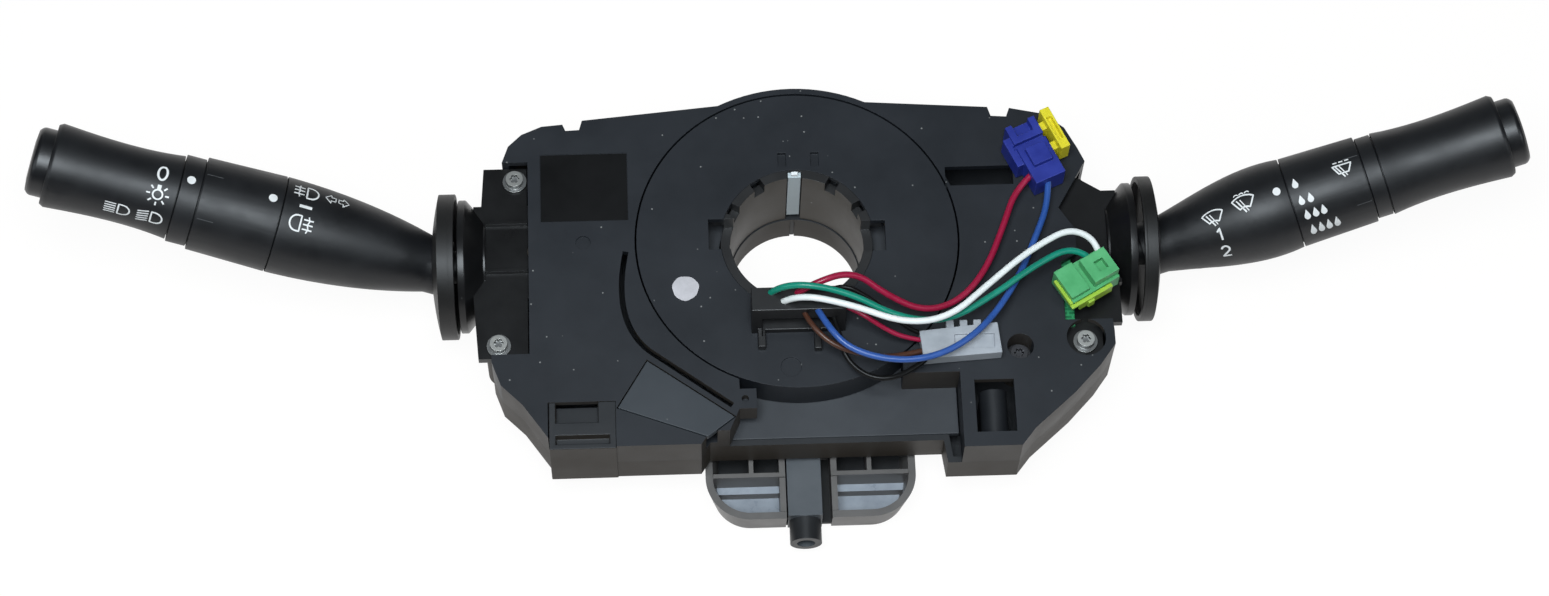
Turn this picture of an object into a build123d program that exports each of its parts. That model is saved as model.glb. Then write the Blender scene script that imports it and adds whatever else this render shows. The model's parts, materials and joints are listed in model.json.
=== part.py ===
# Combination stalk switch for a steering column, in millimetres.
# The column axis is Z and the driver looks down on +Z.
# The origin is the centre of the column collar at its back end.
# +Y is twelve o'clock and +X is the wiper side.
import math
import os

from build123d import *

os.makedirs("parts", exist_ok=True)

# Levels along the column axis
FACE_Z = 45.0
COVER_T = 2.5
SPLIT_Z = 31.0
BACK_Z = 18.0
FLOOR_T = 2.2
WALL = 2.0
BASE_T = 2.5
PLATE_LOW_Z = FACE_Z - COVER_T
FLOOR_Z = BACK_Z + FLOOR_T
BASE_LOW_Z = SPLIT_Z - BASE_T

# Column collar, clamp band and rotor
COLLAR_R = 22.0
COLLAR_WALL = 2.5
COLLAR_LEN = 13.0
COLLAR_SLIT = 1.5
HUB_STEP = 0.4
HUB_WALL = 3.1
HUB_GAP = 0.5
HUB_LIFT = 0.5
HUB_FLANGE = 3.5
HUB_BORE_R = COLLAR_R + HUB_STEP
HUB_OUT_R = HUB_BORE_R + HUB_WALL
HUB_FLANGE_R = HUB_OUT_R + HUB_FLANGE
HUB_LOW_Z = COLLAR_LEN + HUB_LIFT
COLLAR_OUT_R = HUB_OUT_R + HUB_GAP + COLLAR_WALL
ROTOR_R = 53.6
ROTOR_WALL = 2.0
ROTOR_LIFT = 0.6
WELL_GAP = 0.6
WELL_WALL = 2.0
WELL_R = ROTOR_R + WELL_GAP
BASE_GAP = 0.4
BASE_R = WELL_R - BASE_GAP
ROTOR_SLOTS_X = (-4.0, 7.0)
ROTOR_SLOT_W = 2.8
ROTOR_SLOT_Y0 = 27.0
ROTOR_SLOT_Y1 = 32.0
ROTOR_SLOT_DEEP = 1.5
ROTOR_SPOT = (-3.8, -46.2)
ROTOR_SPOT_R = 3.4
ROTOR_SPOT_DEEP = 0.5
HUB_FLANGE_T = 2.5
CASTLE_ANGLES = (28, 58, 122, 152)
CASTLE_W = 4.0
CASTLE_DEEP = 5.0
POCKET_W = 9.0
POCKET_H = 11.0
POCKET_X = HUB_OUT_R - 0.5
POCKET_LOW_Z = 38.0
POCKET_IN_X = 15.0
POCKET_LEFT_Y = 2.5
POCKET_RIGHT_Y = 0.5
BAND_T = 1.2
BAND_GAP = 0.05
BAND_LOW_Z = 2.5
BAND_HIGH_Z = 11.5
BAND_EAR_H = 13.0
BAND_EAR_X = 3.0
BAND_EAR_T = 1.6
BAND_BOLT_R = 2.5
BOLT_IN = 5.0
BOLT_TAIL_X = -12.0
BOLT_GAP = 0.1
BOLT_HEAD_R = 4.3
BOLT_HEAD_H = 3.5
BOLT_SOCKET_R = 2.0
BOLT_SOCKET_DEEP = 2.1
NUT_R = 4.6
NUT_T = 4.0

# Lock key in the hub wall at twelve o'clock
KEY_W = 4.4
KEY_T = 2.0
KEY_Y = HUB_BORE_R + 0.2
KEY_LOW_Z = 16.0
KEY_TOP_Z = 46.5
KEY_GAP = 0.3
KEY_TIP_H = 1.5
KEY_TIP_STEP = 0.4

# Ribbon cable, spring base and circuit board
RIBBON_T = 0.6
RIBBON_PITCH = 1.25
RIBBON_H = 8.0
RIBBON_HALF_TURNS = 6
RIBBON_IN = 3.0
BASE_SHELF = [(-32, -65.8), (51.2, -65.8), (51.2, -20), (-20.5, -20), (-20.5, -58)]
BASE_POSTS = [(-38, 30), (38, 30), (-38, -34), (38, -34)]
BASE_POST_R = 3.5
BOARD_POSTS = [(-22, 38), (22, 38), (-22, -38), (22, -38)]
BOARD_POST_R = 2.5
BOARD_HOLE_GAP = 3.0

# Switch modules, the left one a mirror image of the right one
CASE_SPACE = 5.8
PIVOT_IN = 24.0
PIVOT_Z = 29.5
CASE_IN_X = WELL_R + WELL_WALL + CASE_SPACE
PIVOT_X = CASE_IN_X + PIVOT_IN
CASE_OUT_X = PIVOT_X + 22.0
CASE_HALF_Y = 17.0
CASE_HALF_Z = 11.0
CASE_WALL = 2.0
BAY_GAP = 0.4
BAY_ROOF_GAP = 1.2
BAY_OUT = 54.0
BAY_WALL_OUT = 13.0
WING_GAP = 0.4
CONTACT_IN = 20.0
CONTACT_LEFT_HALF_Y = 15.0
CONTACT_RIGHT_TOP_Y = 3.0
CONTACT_LEFT_OUT = 0.5
CONTACT_RIGHT_OUT = 5.0
CONTACT_RIGHT_LOW_Y = -33.0
WING_T = 3.0
RIB_T = 1.2
RIB_H = 2.0
RIBS_Y = (10.0, -7.4)
NOSE_X0 = PIVOT_X + 18.0
NOSE_X1 = PIVOT_X + 26.5
NOSE_R = 15.0
NOSE_WALL = 2.0
CARRIER_IN = 7.0
CARRIER_OUT = 6.0
CARRIER_HALF_Y = 12.5
CARRIER_HALF_Z = 8.5
CHEEK_T = 3.0
YOKE_T = 2.5
YOKE_OUT = 4.0
TRUNNION_R = 4.0
RUN_GAP = 0.05
PIN_R = 2.5
PIN_HALF = 12.4
ROOT_IN = 6.0
ROOT_OUT = 8.0
ROOT_HALF_Y = 8.8
ROOT_HALF_Z = 4.6
NECK_R = 5.5
BOARD_T = 1.6
BOARD_LIFT = 1.8
BOARD_EDGE = 4.0


def from_left(*points):
    return [(x - PIVOT_X, y) for x, y in points]


def from_right(*points):
    return [(x + PIVOT_X, y) for x, y in points]


# Outline of the tray and cover, read from the photograph; the sides are measured from the pivots
LEFT_TOP = from_left((-12.5, 30), (-10, 37), (-5.5, 41.3), (1.3, 44.2), (8.4, 44.8))
LEFT_NOTCH = from_left((9.4, 42.4), (14, 42.6), (15, 46.1)) + [(-15.9, 51.2), (19.7, 50.8)]
RIGHT_TOP = from_right((-19.6, 47.4), (-18.6, 44), (-13.4, 43.6), (-12.2, 46.8), (-0.4, 44.2))
RIGHT_SIDE = from_right((6, 38.8), (9.9, 31.1), (12.5, 25), (17.5, -36), (17.5, -41))
RIGHT_LOW = from_right((12, -48.5), (3, -58), (-10.7, -70), (-15.5, -76))
BOTTOM = [(47, -76), (46, -68), (-31, -68), (-34, -72.5)]
LEFT_LOW = from_left((3.4, -72.5), (2.7, -69.6), (-6, -57), (-13, -50), (-16, -41.6), (-16, -36))
OUTLINE = LEFT_TOP + LEFT_NOTCH + RIGHT_TOP + RIGHT_SIDE + RIGHT_LOW + BOTTOM + LEFT_LOW
LEFT_WING = from_left((-4, 30.8), (-18.5, 30.8), (-19.5, 14.5), (-22, 10))
LEFT_WING += from_left((-22, -17), (-20.5, -38.6), (-4, -38.6))
WING_TOP = from_right((2, 22), (9.5, 22), (21, 14.5), (21, -31.5))
WING_LOW = from_right((14, -31.5), (14, -44.5), (0, -44.5), (0, 0), (2, 0))

# Cut-outs of the cover
SHELF = [(-21, -30), (-21, -60), (-30, -80), (51.5, -80), (51.5, -49.5), (33, -49.5), (33, -30)]
LEFT_CUT_X = -PIVOT_X - 3.5
LEFT_CUT_LOW_Y = -39.0
LEFT_CUT_TOP_Y = 31.0
LEFT_WALL_PAST = 5.0
COVER_SPOT = (-71.3, 0.6)
COVER_SPOT_R = 2.5
COVER_SPOT_DEEP = 0.8
CUT_EDGE = from_right((12, 26), (2, 9), (7, 1), (7, -8), (1.5, -11), (1.5, -32))
RIGHT_CUT = from_right((44, 26)) + CUT_EDGE + from_right((44, -32))
SLIT = [(-57.2, -3), (-58.8, -16), (-56.6, -30), (-49.6, -39.6)]
SLIT_END = (-23.5, -59.2)
SLIT_W = 1.9
CLIP_X0 = -23.0
CLIP_X1 = -15.5
CLIP_Y0 = -60.5
CLIP_Y1 = -53.5
CLIP_LOW_Z = 36.0
CLIP_HOLE_R = 1.2
CLIP_HOLE_DEEP = 3.0
SLIT_DEEP = 1.0
FLAP = [(-51, -42.6), (-61, -59), (-31.8, -70), (-22.8, -63.2)]
FLAP_GAP = 0.3
FLAP_LEG = 4.0
FLAP_LEGS = [(-50, -58), (-40.2, -63)]
FLAP_DEEP = 8.0
SLOT_X0 = 50.7
SLOT_X1 = 73.5
SLOT_Y0 = 18.2
SLOT_Y1 = 25.2
LABEL_X0 = -85.4
LABEL_X1 = -56.0
LABEL_Y0 = 8.5
LABEL_Y1 = 33.6
LABEL_DEEP = 0.3
WINDOW_X0 = 56.0
WINDOW_X1 = 69.0
WINDOW_Y0 = -71.0
WINDOW_Y1 = -52.6
BARREL_X = (WINDOW_X0 + WINDOW_X1) / 2
BARREL_R = 4.6
BARREL_Z = 36.0
BARREL_HOLE_R = 2.2
BARREL_END_GAP = 1.5
PILLAR_HALF_X = 4.0

# Screws
SCREW_R = 2.0
SCREW_HEAD_R = 4.0
SCREW_HEAD_H = 3.2
SCREW_LEN = 14.0
SCREW_HOLE_GAP = 0.05
FLANGE_H = 0.9
FLANGE_STEP = 1.1
LOBE_AT = 1.12
LOBE_R = 0.49
LOBE_DEEP = 1.6
CASE_HOLE_GAP = 0.25
COVER_HOLE_GAP = 0.2
HEAD_ROOM = 0.4
POST_R = 4.5
POST_GAP = 0.6
LEFT_SCREW_A = (-PIVOT_X - 8.0, 25.6)
LEFT_SCREW_B = (-PIVOT_X - 13.7, -34.3)
RIGHT_SCREW = (PIVOT_X + 8.0, -38.4)
RIGHT_RECESS_R = 6.5
COVER_SCREW = (72.0, -41.0)
COVER_SCREW_SEAT_Z = 36.0
COVER_BOSS_Z = 33.0
COVER_BOSS_R = 6.2

# Stalks: angles from the X axis, then stations along the stalk axis
STALK_YAW = 11.4
STALK_PITCH = 15.0
SHIELD_X = PIVOT_X + 33.5
SHIELD_R = 24.5
SHIELD_DOME = 3.0
SHIELD_T = 2.0
SHIELD_RIM = 1.5
CORE_R = 7.0
CORE_BORE_R = 5.0
JOINT_GAP = 0.4
LEFT_RING = 57.0
LEFT_COLLAR = 84.0
LEFT_HEAD = 91.0
LEFT_END = 133.5
LEFT_TIP = 139.5
RIGHT_RING = 50.0
RIGHT_COLLAR = 76.0
RIGHT_HEAD = 81.5
RIGHT_END = 123.6
RIGHT_TIP = 130.0
LEVER_START = -2.0
LEVER_ROOT_R = 9.4
GRIP_START = 4.0
GRIP_LOW = (12.6, 18.0)
GRIP_HIGH_R = 15.0
GRIP_HIGH = 0.6
CORE_BORE_START = 12.0
LEFT_RING_R = 16.3
RIGHT_RING_R = 15.4
RING_TAPER = 0.6
LIP_STEP = 1.6
LIP_LEN = 1.2
LIP_GAP = 0.3
COLLAR_STEP = 0.9
HEAD_R = 14.2
HEAD_WAIST_R = 13.1
HEAD_RISE_R = 13.3
HEAD_WAIST = 6.0
HEAD_EDGE = 1.5
HEAD_LIP = 0.8
BUTTON_R = 11.5
BUTTON_GAP = 0.4
BUTTON_DEEP = 6.0
BUTTON_STEM_R = 4.95
BUTTON_STEM = 20.0
BUTTON_EDGE = 1.6
BUTTON_ROUND = 1.4
BUTTON_CROWN = 0.4
BUTTON_FLAT = 5.0
CAVITY_DEEP = 12.0

# Sockets, plugs and the lower bracket
SOCKET_X0 = -83.5
SOCKET_X1 = -61.6
SOCKET_Y0 = -73.0
SOCKET_Y1 = -56.5
SOCKET_TOP_Z = 44.8
SOCKET_ROOM_Z = 24.0
SHROUD_Y0 = -68.3
SHROUD_LOW_Z = 6.0
SOCKET_GAP = 0.3
SOCKET_WALL = 2.2
FRAME_X1 = -67.4
FRAME_Y0 = -63.7
SLOT_BAND_X1 = -63.8
SLOT_BAND_Y0 = -71.2
SLOT_BAND_Y1 = -68.2
PIN_COLUMNS = 6
PIN_PITCH = 3.2
PIN_WIRE = 0.8
PIN_END_Z = 18.0
PIN_IN_Y = 4.4
PIN_ROOT = 1.5
FRAME_LOW_Z = 40.0
SLOT_BAND_LOW_Z = 41.5
BRACKET_BACK_Y = -60.0
BRACKET_X0 = -30.5
BRACKET_X1 = 35.0
CUP_TOP_Z = 15.0
CUP_FLOOR = 2.5
CUP_WALL = 2.0
CUP_DRAFT = 9.5
MOON_X = 2.3
MOON_W = 65.0
MOON_H = 35.0
MOON_ROUND = 12.5
CUP_LEFT_X = -6.2
CUP_RIGHT_X = 9.0
CROSS_Y = -73.5
CROSS_T = 1.5
CROSS_TOP_Z = 16.0
TAB_LEFT_X = -17.5
TAB_RIGHT_X = 21.8
STEP_Y = -76.0
STEP_TOP_Z = 7.0
BRACKET_Y = -68.0
POST_HALF_X = 5.7
POST_LOW_Z = 3.5
COWL_POST_END_Y = -87.0
COWL_TUBE_END_Y = -95.0
COWL_TUBE_R = 5.3
COWL_HOLE_R = 3.0
COWL_HOLE_LEN = 16.0
COWL_AXIS_Z = 9.5
HARNESS_X = -0.9
HARNESS_HALF = 15.5
HARNESS_SIDE = [(-34, 45), (-31.5, 58), (-23.2, 58), (-23.2, 45)]
HARNESS_RIB_H = 3.0
HARNESS_ROOM_X = 12.0
HARNESS_ROOM_Y = -29.0
HARNESS_ROOM_LOW = 2.0
HARNESS_ROOM_HIGH = 8.0
PLUG_LOW_Z = 45.5
PLUG_TOP_Z = 55.0
BLUE_HALF_L = 11.5
BLUE_HALF_W = 5.5
CLIP_NEAR = 7.8
CLIP_FAR = 11.2
GREEN_BACK = -9.0
GREEN_FRONT = 9.5
GREEN_HALF_W = 6.0
GREEN_HOLES = (-4.2, -1.7, 0.8, 3.3)
GREEN_HOLE_W = 1.4
LOCK_OUT = 7.4
GREY_PLUG = [(38.5, -37), (64.4, -34.6), (65.4, -45.4), (39.5, -47)]
GREY_H = 5.0
GREY_FINS_X = (47.5, 52, 56.5)
GREY_FIN_W = 2.6
GREY_FIN_H = 4.0
FAR_Z = 60.0
FAR = 20.0


def block(x0, x1, y0, y1, z0, z1):
    middle = Pos((x0 + x1) / 2, (y0 + y1) / 2, (z0 + z1) / 2)
    return middle * Box(abs(x1 - x0), abs(y1 - y0), abs(z1 - z0))


def disc(radius, low, high, x=0.0, y=0.0):
    return Pos(x, y, (low + high) / 2) * Cylinder(radius, high - low)


def slab(face, low, high):
    return extrude(Pos(0, 0, low) * face, amount=high - low, dir=(0, 0, 1))


def polygon(points):
    return make_face(Polyline(*points, close=True))


def turned(points):
    edges = Polyline(*[(r, 0, s) for r, s in points], close=True)
    return revolve(make_face(edges), axis=Axis.Z)


def along_y(radius, y0, y1, x, z):
    return Pos(x, (y0 + y1) / 2, z) * Rot(90, 0, 0) * Cylinder(radius, abs(y1 - y0))


def along_x(radius, x0, x1, y, z):
    return Pos((x0 + x1) / 2, y, z) * Rot(0, 90, 0) * Cylinder(radius, abs(x1 - x0))


def save(node, solid):
    export_step(solid, "parts/" + node + ".step")


BLUE_PLACE = Pos(80.5, 26, 0) * Rot(0, 0, -66)
GREEN_PLACE = Pos(94.5, -19.5, 0) * Rot(0, 0, 30)

# Both shells of the housing share one outline, with a bump around the rotor well.
outer_face = polygon(OUTLINE)
inner_face = offset(outer_face, amount=-WALL, kind=Kind.INTERSECTION)
bay_y = CASE_HALF_Y + BAY_GAP
bay_in_x = CASE_IN_X - BAY_GAP
bay_far_x = PIVOT_X + BAY_OUT
bay_end_x = PIVOT_X + BAY_WALL_OUT
bays = block(bay_in_x, bay_far_x, -bay_y, bay_y, 0, PLATE_LOW_Z - BAY_ROOF_GAP)
bays += block(-bay_far_x, -bay_in_x, -bay_y, bay_y, 0, PLATE_LOW_Z - BAY_ROOF_GAP)
bay_walls = block(bay_in_x - WALL, bay_end_x, -bay_y - WALL, bay_y + WALL, BACK_Z, SPLIT_Z)
bay_walls += block(-bay_end_x, -bay_in_x + WALL, -bay_y - WALL, bay_y + WALL, BACK_Z, SPLIT_Z)
socket_room = block(SOCKET_X0 - SOCKET_GAP, SOCKET_X1, SOCKET_Y0 - FAR, SOCKET_Y1, 0, FAR_Z)
screws_at = [LEFT_SCREW_A, LEFT_SCREW_B, RIGHT_SCREW]
wing_low_z = PIVOT_Z + CASE_HALF_Z - WING_T
wing_top_z = PIVOT_Z + CASE_HALF_Z
board_r = WELL_R - BOARD_EDGE

# Rear tray with the screw posts and the supports of the spring base.
tray = slab(outer_face, BACK_Z, SPLIT_Z) + disc(WELL_R + WELL_WALL, BACK_Z, SPLIT_Z)
tray -= slab(inner_face, FLOOR_Z, SPLIT_Z) + disc(WELL_R, FLOOR_Z, SPLIT_Z)
tray += bay_walls - slab(outer_face, 0, BACK_Z)
tray -= bays
for x, y in screws_at:
    tray += disc(POST_R, BACK_Z, wing_low_z, x, y)
for x, y in BASE_POSTS:
    tray += disc(BASE_POST_R, BACK_Z, BASE_LOW_Z, x, y)
for x, y in BOARD_POSTS:
    tray += disc(BOARD_POST_R, BACK_Z, FLOOR_Z + BOARD_LIFT, x, y)
tray += disc(POST_R, BACK_Z, COVER_BOSS_Z, *COVER_SCREW)
for x, y in screws_at:
    tray -= disc(SCREW_R + SCREW_HOLE_GAP, wing_top_z - SCREW_LEN - 1, FAR_Z, x, y)
tray -= disc(SCREW_R + SCREW_HOLE_GAP, COVER_SCREW_SEAT_Z - SCREW_LEN, FAR_Z, *COVER_SCREW)
tray -= disc(HUB_OUT_R + HUB_GAP, 0, FAR_Z)
tray -= socket_room
save("rear_tray", tray)

# Column collar under the tray, slit in four places so that the band can close it.
collar = disc(COLLAR_OUT_R, 0, BACK_Z)
collar -= disc(COLLAR_R, -1, FAR_Z)
collar -= disc(HUB_OUT_R + HUB_GAP, COLLAR_LEN, FAR_Z)
for angle in (0, 90, 180, 270):
    cut = block(-COLLAR_SLIT / 2, COLLAR_SLIT / 2, 0, COLLAR_OUT_R + FAR, -1, COLLAR_LEN - 1)
    collar -= Rot(0, 0, angle) * cut
save("column_collar", collar)

# Front cover: plate, skirt, wall of the rotor well and walls beside the shelf.
shelf_face = polygon(SHELF)
wide_shelf = offset(shelf_face, amount=WALL, kind=Kind.INTERSECTION)
cover = slab(outer_face, SPLIT_Z, FACE_Z) - slab(inner_face, SPLIT_Z, PLATE_LOW_Z)
inside = slab(outer_face, SPLIT_Z, PLATE_LOW_Z) & slab(wide_shelf, SPLIT_Z, PLATE_LOW_Z)
cover += disc(WELL_R + WELL_WALL, SPLIT_Z, FACE_Z) + inside
left_wall_y0 = LEFT_CUT_LOW_Y - LEFT_WALL_PAST
left_wall_y1 = LEFT_CUT_TOP_Y + LEFT_WALL_PAST
cover += block(LEFT_CUT_X, LEFT_CUT_X + WALL, left_wall_y0, left_wall_y1, SPLIT_Z, PLATE_LOW_Z)
cover += disc(COVER_BOSS_R, COVER_BOSS_Z, FACE_Z, *COVER_SCREW)
cover -= disc(WELL_R, 0, FAR_Z) + slab(shelf_face, 0, FAR_Z)
cover -= block(-bay_far_x, LEFT_CUT_X, LEFT_CUT_LOW_Y, LEFT_CUT_TOP_Y, 0, FAR_Z)
cover -= slab(polygon(RIGHT_CUT), 0, FAR_Z)
cover -= bays
cover -= socket_room
slit_line = Spline(*SLIT) + Line(SLIT[-1], SLIT_END)
cover -= slab(trace(slit_line, line_width=SLIT_W), PLATE_LOW_Z - SLIT_DEEP, FAR_Z)
cover += block(CLIP_X0, CLIP_X1, CLIP_Y0, CLIP_Y1, CLIP_LOW_Z, FACE_Z)
clip_middle = ((CLIP_X0 + CLIP_X1) / 2, (CLIP_Y0 + CLIP_Y1) / 2)
cover -= disc(CLIP_HOLE_R, FACE_Z - CLIP_HOLE_DEEP, FAR_Z, *clip_middle)
flap_room = offset(polygon(FLAP), amount=FLAP_GAP, kind=Kind.INTERSECTION)
cover -= slab(flap_room, PLATE_LOW_Z - FLAP_DEEP, FAR_Z)
cover -= block(SLOT_X0, SLOT_X1, SLOT_Y0, SLOT_Y1, PLATE_LOW_Z - 1, FAR_Z)
cover -= block(LABEL_X0, LABEL_X1, LABEL_Y0, LABEL_Y1, FACE_Z - LABEL_DEEP, FAR_Z)
cover -= disc(COVER_SPOT_R, FACE_Z - COVER_SPOT_DEEP, FAR_Z, *COVER_SPOT)
cover -= block(WINDOW_X0, WINDOW_X1, WINDOW_Y0, WINDOW_Y1, 0, FAR_Z)
cover -= disc(RIGHT_RECESS_R, PLATE_LOW_Z - 1, FAR_Z, *RIGHT_SCREW)
for x, y in screws_at:
    cover -= disc(POST_R + POST_GAP, 0, PLATE_LOW_Z, x, y)
cover -= disc(SCREW_R + COVER_HOLE_GAP, 0, FAR_Z, *COVER_SCREW)
cover -= disc(SCREW_HEAD_R + HEAD_ROOM, COVER_SCREW_SEAT_Z, FAR_Z, *COVER_SCREW)
wing_room = offset(polygon(WING_TOP + WING_LOW), amount=WING_GAP, kind=Kind.INTERSECTION)
cover -= slab(wing_room, wing_low_z - WING_GAP, wing_top_z + WING_GAP)
save("front_cover", cover)

# Spring base: the floor of the ribbon chamber and the open shelf below the rotor.
base_face = Circle(BASE_R) + polygon(BASE_SHELF)
base = slab(base_face, BASE_LOW_Z, SPLIT_Z)
base -= disc(HUB_OUT_R + HUB_GAP, 0, FAR_Z)
save("spring_base", base)

# Access flap over the ribbon outlet, standing on two legs.
flap = slab(polygon(FLAP), PLATE_LOW_Z, FACE_Z)
for x, y in FLAP_LEGS:
    flap += block(x, x + FLAP_LEG, y, y + FLAP_LEG, FLOOR_Z, PLATE_LOW_Z)
save("access_flap", flap)

# Main circuit board: a round board on posts of the tray floor, under the spring base.
board = disc(board_r, FLOOR_Z + BOARD_LIFT, FLOOR_Z + BOARD_LIFT + BOARD_T)
board -= disc(COLLAR_OUT_R + BOARD_HOLE_GAP, 0, FAR_Z)
for x, y in BASE_POSTS:
    board -= disc(POST_R + POST_GAP, 0, FAR_Z, x, y)
save("circuit_board", board)

# Flat ribbon cable wound between rotor and stator.
ribbon = None
radius = HUB_FLANGE_R + RIBBON_IN
for turn in range(RIBBON_HALF_TURNS):
    upper = turn % 2 == 0
    ring_face = Circle(radius + RIBBON_T) - Circle(radius)
    half_y = WELL_R if upper else -WELL_R
    half = slab(ring_face, SPLIT_Z, SPLIT_Z + RIBBON_H) & block(-WELL_R, WELL_R, 0, half_y, 0, FAR_Z)
    half = Pos(0 if upper else RIBBON_PITCH, 0, 0) * half
    ribbon = half if ribbon is None else ribbon + half
    radius += RIBBON_PITCH
save("ribbon_cable", ribbon)

# Lower left plug socket: a shroud open at the back holds the pins; a frame and a slot show on its top.
socket = block(SOCKET_X0, SOCKET_X1, SOCKET_Y0, SOCKET_Y1, BACK_Z, SOCKET_TOP_Z)
socket += block(SOCKET_X0, SOCKET_X1, SHROUD_Y0, SOCKET_Y1, SHROUD_LOW_Z, BACK_Z)
mouth_x0 = SOCKET_X0 + SOCKET_WALL
mouth_y0 = SHROUD_Y0 + SOCKET_WALL
socket -= block(mouth_x0, SOCKET_X1 - SOCKET_WALL, mouth_y0, SOCKET_Y1 - SOCKET_WALL, 0, SOCKET_ROOM_Z)
socket -= block(mouth_x0, FRAME_X1, FRAME_Y0, SOCKET_Y1 + 1, FRAME_LOW_Z, FAR_Z)
socket -= block(mouth_x0, SLOT_BAND_X1, SLOT_BAND_Y0, SLOT_BAND_Y1, SLOT_BAND_LOW_Z, FAR_Z)
save("light_socket", socket)
pins = []
for column in range(PIN_COLUMNS):
    x = (SOCKET_X0 + SOCKET_X1) / 2 + (column - (PIN_COLUMNS - 1) / 2) * PIN_PITCH
    for y in (SHROUD_Y0 + PIN_IN_Y, SOCKET_Y1 - PIN_IN_Y):
        pins.append(disc(PIN_WIRE / 2, PIN_END_Z, SOCKET_ROOM_Z + PIN_ROOT, x, y))
save("socket_pins", Compound(children=pins))

# Guide barrel in the lower right window, on a pillar from the tray floor.
barrel_y0 = WINDOW_Y0 + BARREL_END_GAP
barrel_y1 = WINDOW_Y1 - BARREL_END_GAP
barrel = along_y(BARREL_R, barrel_y0, barrel_y1, BARREL_X, BARREL_Z)
barrel += block(BARREL_X - PILLAR_HALF_X, BARREL_X + PILLAR_HALF_X, barrel_y0, barrel_y1, FLOOR_Z, BARREL_Z)
barrel -= along_y(BARREL_HOLE_R, WINDOW_Y0, WINDOW_Y1, BARREL_X, BARREL_Z)
save("guide_barrel", barrel)


# Lower bracket: plate under the tray and a drafted half-moon bowl, parted by the post into two cups.
def drafted(width, height, rounding, low, high):
    face = Pos(MOON_X, BRACKET_Y, low) * RectangleRounded(width, height, rounding)
    return extrude(face, amount=high - low, dir=(0, 0, 1), taper=-CUP_DRAFT)


bowl = drafted(MOON_W, MOON_H, MOON_ROUND, 0, CUP_TOP_Z)
room_w = MOON_W - 2 * CUP_WALL
room_h = MOON_H - 2 * CUP_WALL
bowl -= drafted(room_w, room_h, MOON_ROUND - CUP_WALL, CUP_FLOOR, CUP_TOP_Z + CUP_FLOOR)
bowl_x0 = MOON_X - MOON_W / 2
bowl_x1 = MOON_X + MOON_W / 2
bowl += block(bowl_x0, bowl_x1, CROSS_Y, CROSS_Y + CROSS_T, 0, CROSS_TOP_Z)
bowl += block(bowl_x0, bowl_x1, STEP_Y, CROSS_Y, 0, STEP_TOP_Z)
for x in (TAB_LEFT_X, TAB_RIGHT_X):
    bowl += block(x - CROSS_T / 2, x + CROSS_T / 2, CROSS_Y, BRACKET_BACK_Y, 0, CROSS_TOP_Z)
for x in (CUP_LEFT_X - CUP_WALL, CUP_RIGHT_X):
    bowl += block(x, x + CUP_WALL, BRACKET_Y - MOON_H / 2, BRACKET_BACK_Y, 0, CUP_TOP_Z)
bowl &= block(bowl_x0 - FAR, bowl_x1 + FAR, BRACKET_Y - MOON_H, BRACKET_BACK_Y, 0, FAR_Z)
plate_front_y = BRACKET_BACK_Y - WALL
bracket = block(BRACKET_X0, BRACKET_X1, plate_front_y, BRACKET_BACK_Y, 0, BACK_Z) + bowl
bracket -= block(CUP_LEFT_X, CUP_RIGHT_X, BRACKET_Y - MOON_H, plate_front_y, -1, FAR_Z)
save("cowl_bracket", bracket)

# Screw post of the lower cowl between the cups.
post = block(-POST_HALF_X, POST_HALF_X, COWL_POST_END_Y, plate_front_y, POST_LOW_Z, CUP_TOP_Z)
post += along_y(COWL_TUBE_R, COWL_POST_END_Y + 1, COWL_TUBE_END_Y, 0, COWL_AXIS_Z)
post -= along_y(COWL_HOLE_R, COWL_TUBE_END_Y - 1, COWL_TUBE_END_Y + COWL_HOLE_LEN, 0, COWL_AXIS_Z)
save("cowl_post", post)

# Clamp band round the split collar, with its bolt and nut.
band_r = COLLAR_OUT_R + BAND_GAP
band = disc(band_r + BAND_T, BAND_LOW_Z, BAND_HIGH_Z) - disc(band_r, 0, FAR_Z)
band -= block(-BAND_EAR_X, BAND_EAR_X, 0, COLLAR_OUT_R + FAR, 0, FAR_Z)
ear_out_x = BAND_EAR_X + BAND_EAR_T
ear_top_y = COLLAR_OUT_R + BAND_EAR_H
for side in (-1, 1):
    ear = block(side * BAND_EAR_X, side * ear_out_x, COLLAR_R, ear_top_y, BAND_LOW_Z, BAND_HIGH_Z)
    band += ear - disc(band_r, 0, FAR_Z)
bolt_y = ear_top_y - BOLT_IN
bolt_z = (BAND_LOW_Z + BAND_HIGH_Z) / 2
band -= along_x(BAND_BOLT_R + BOLT_GAP, -FAR, FAR, bolt_y, bolt_z)
save("clamp_band", band)
head_x = ear_out_x + BOLT_HEAD_H
bolt = along_x(BAND_BOLT_R, BOLT_TAIL_X, ear_out_x, bolt_y, bolt_z)
bolt += along_x(BOLT_HEAD_R, ear_out_x, head_x, bolt_y, bolt_z)
bolt -= along_x(BOLT_SOCKET_R, head_x - BOLT_SOCKET_DEEP, head_x + 1, bolt_y, bolt_z)
save("clamp_bolt", bolt)
nut = extrude(RegularPolygon(NUT_R, 6), amount=NUT_T)
nut = Pos(-ear_out_x, bolt_y, bolt_z) * Rot(0, -90, 0) * nut
nut -= along_x(BAND_BOLT_R + SCREW_HOLE_GAP, -FAR, FAR, bolt_y, bolt_z)
save("clamp_nut", nut)


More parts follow.
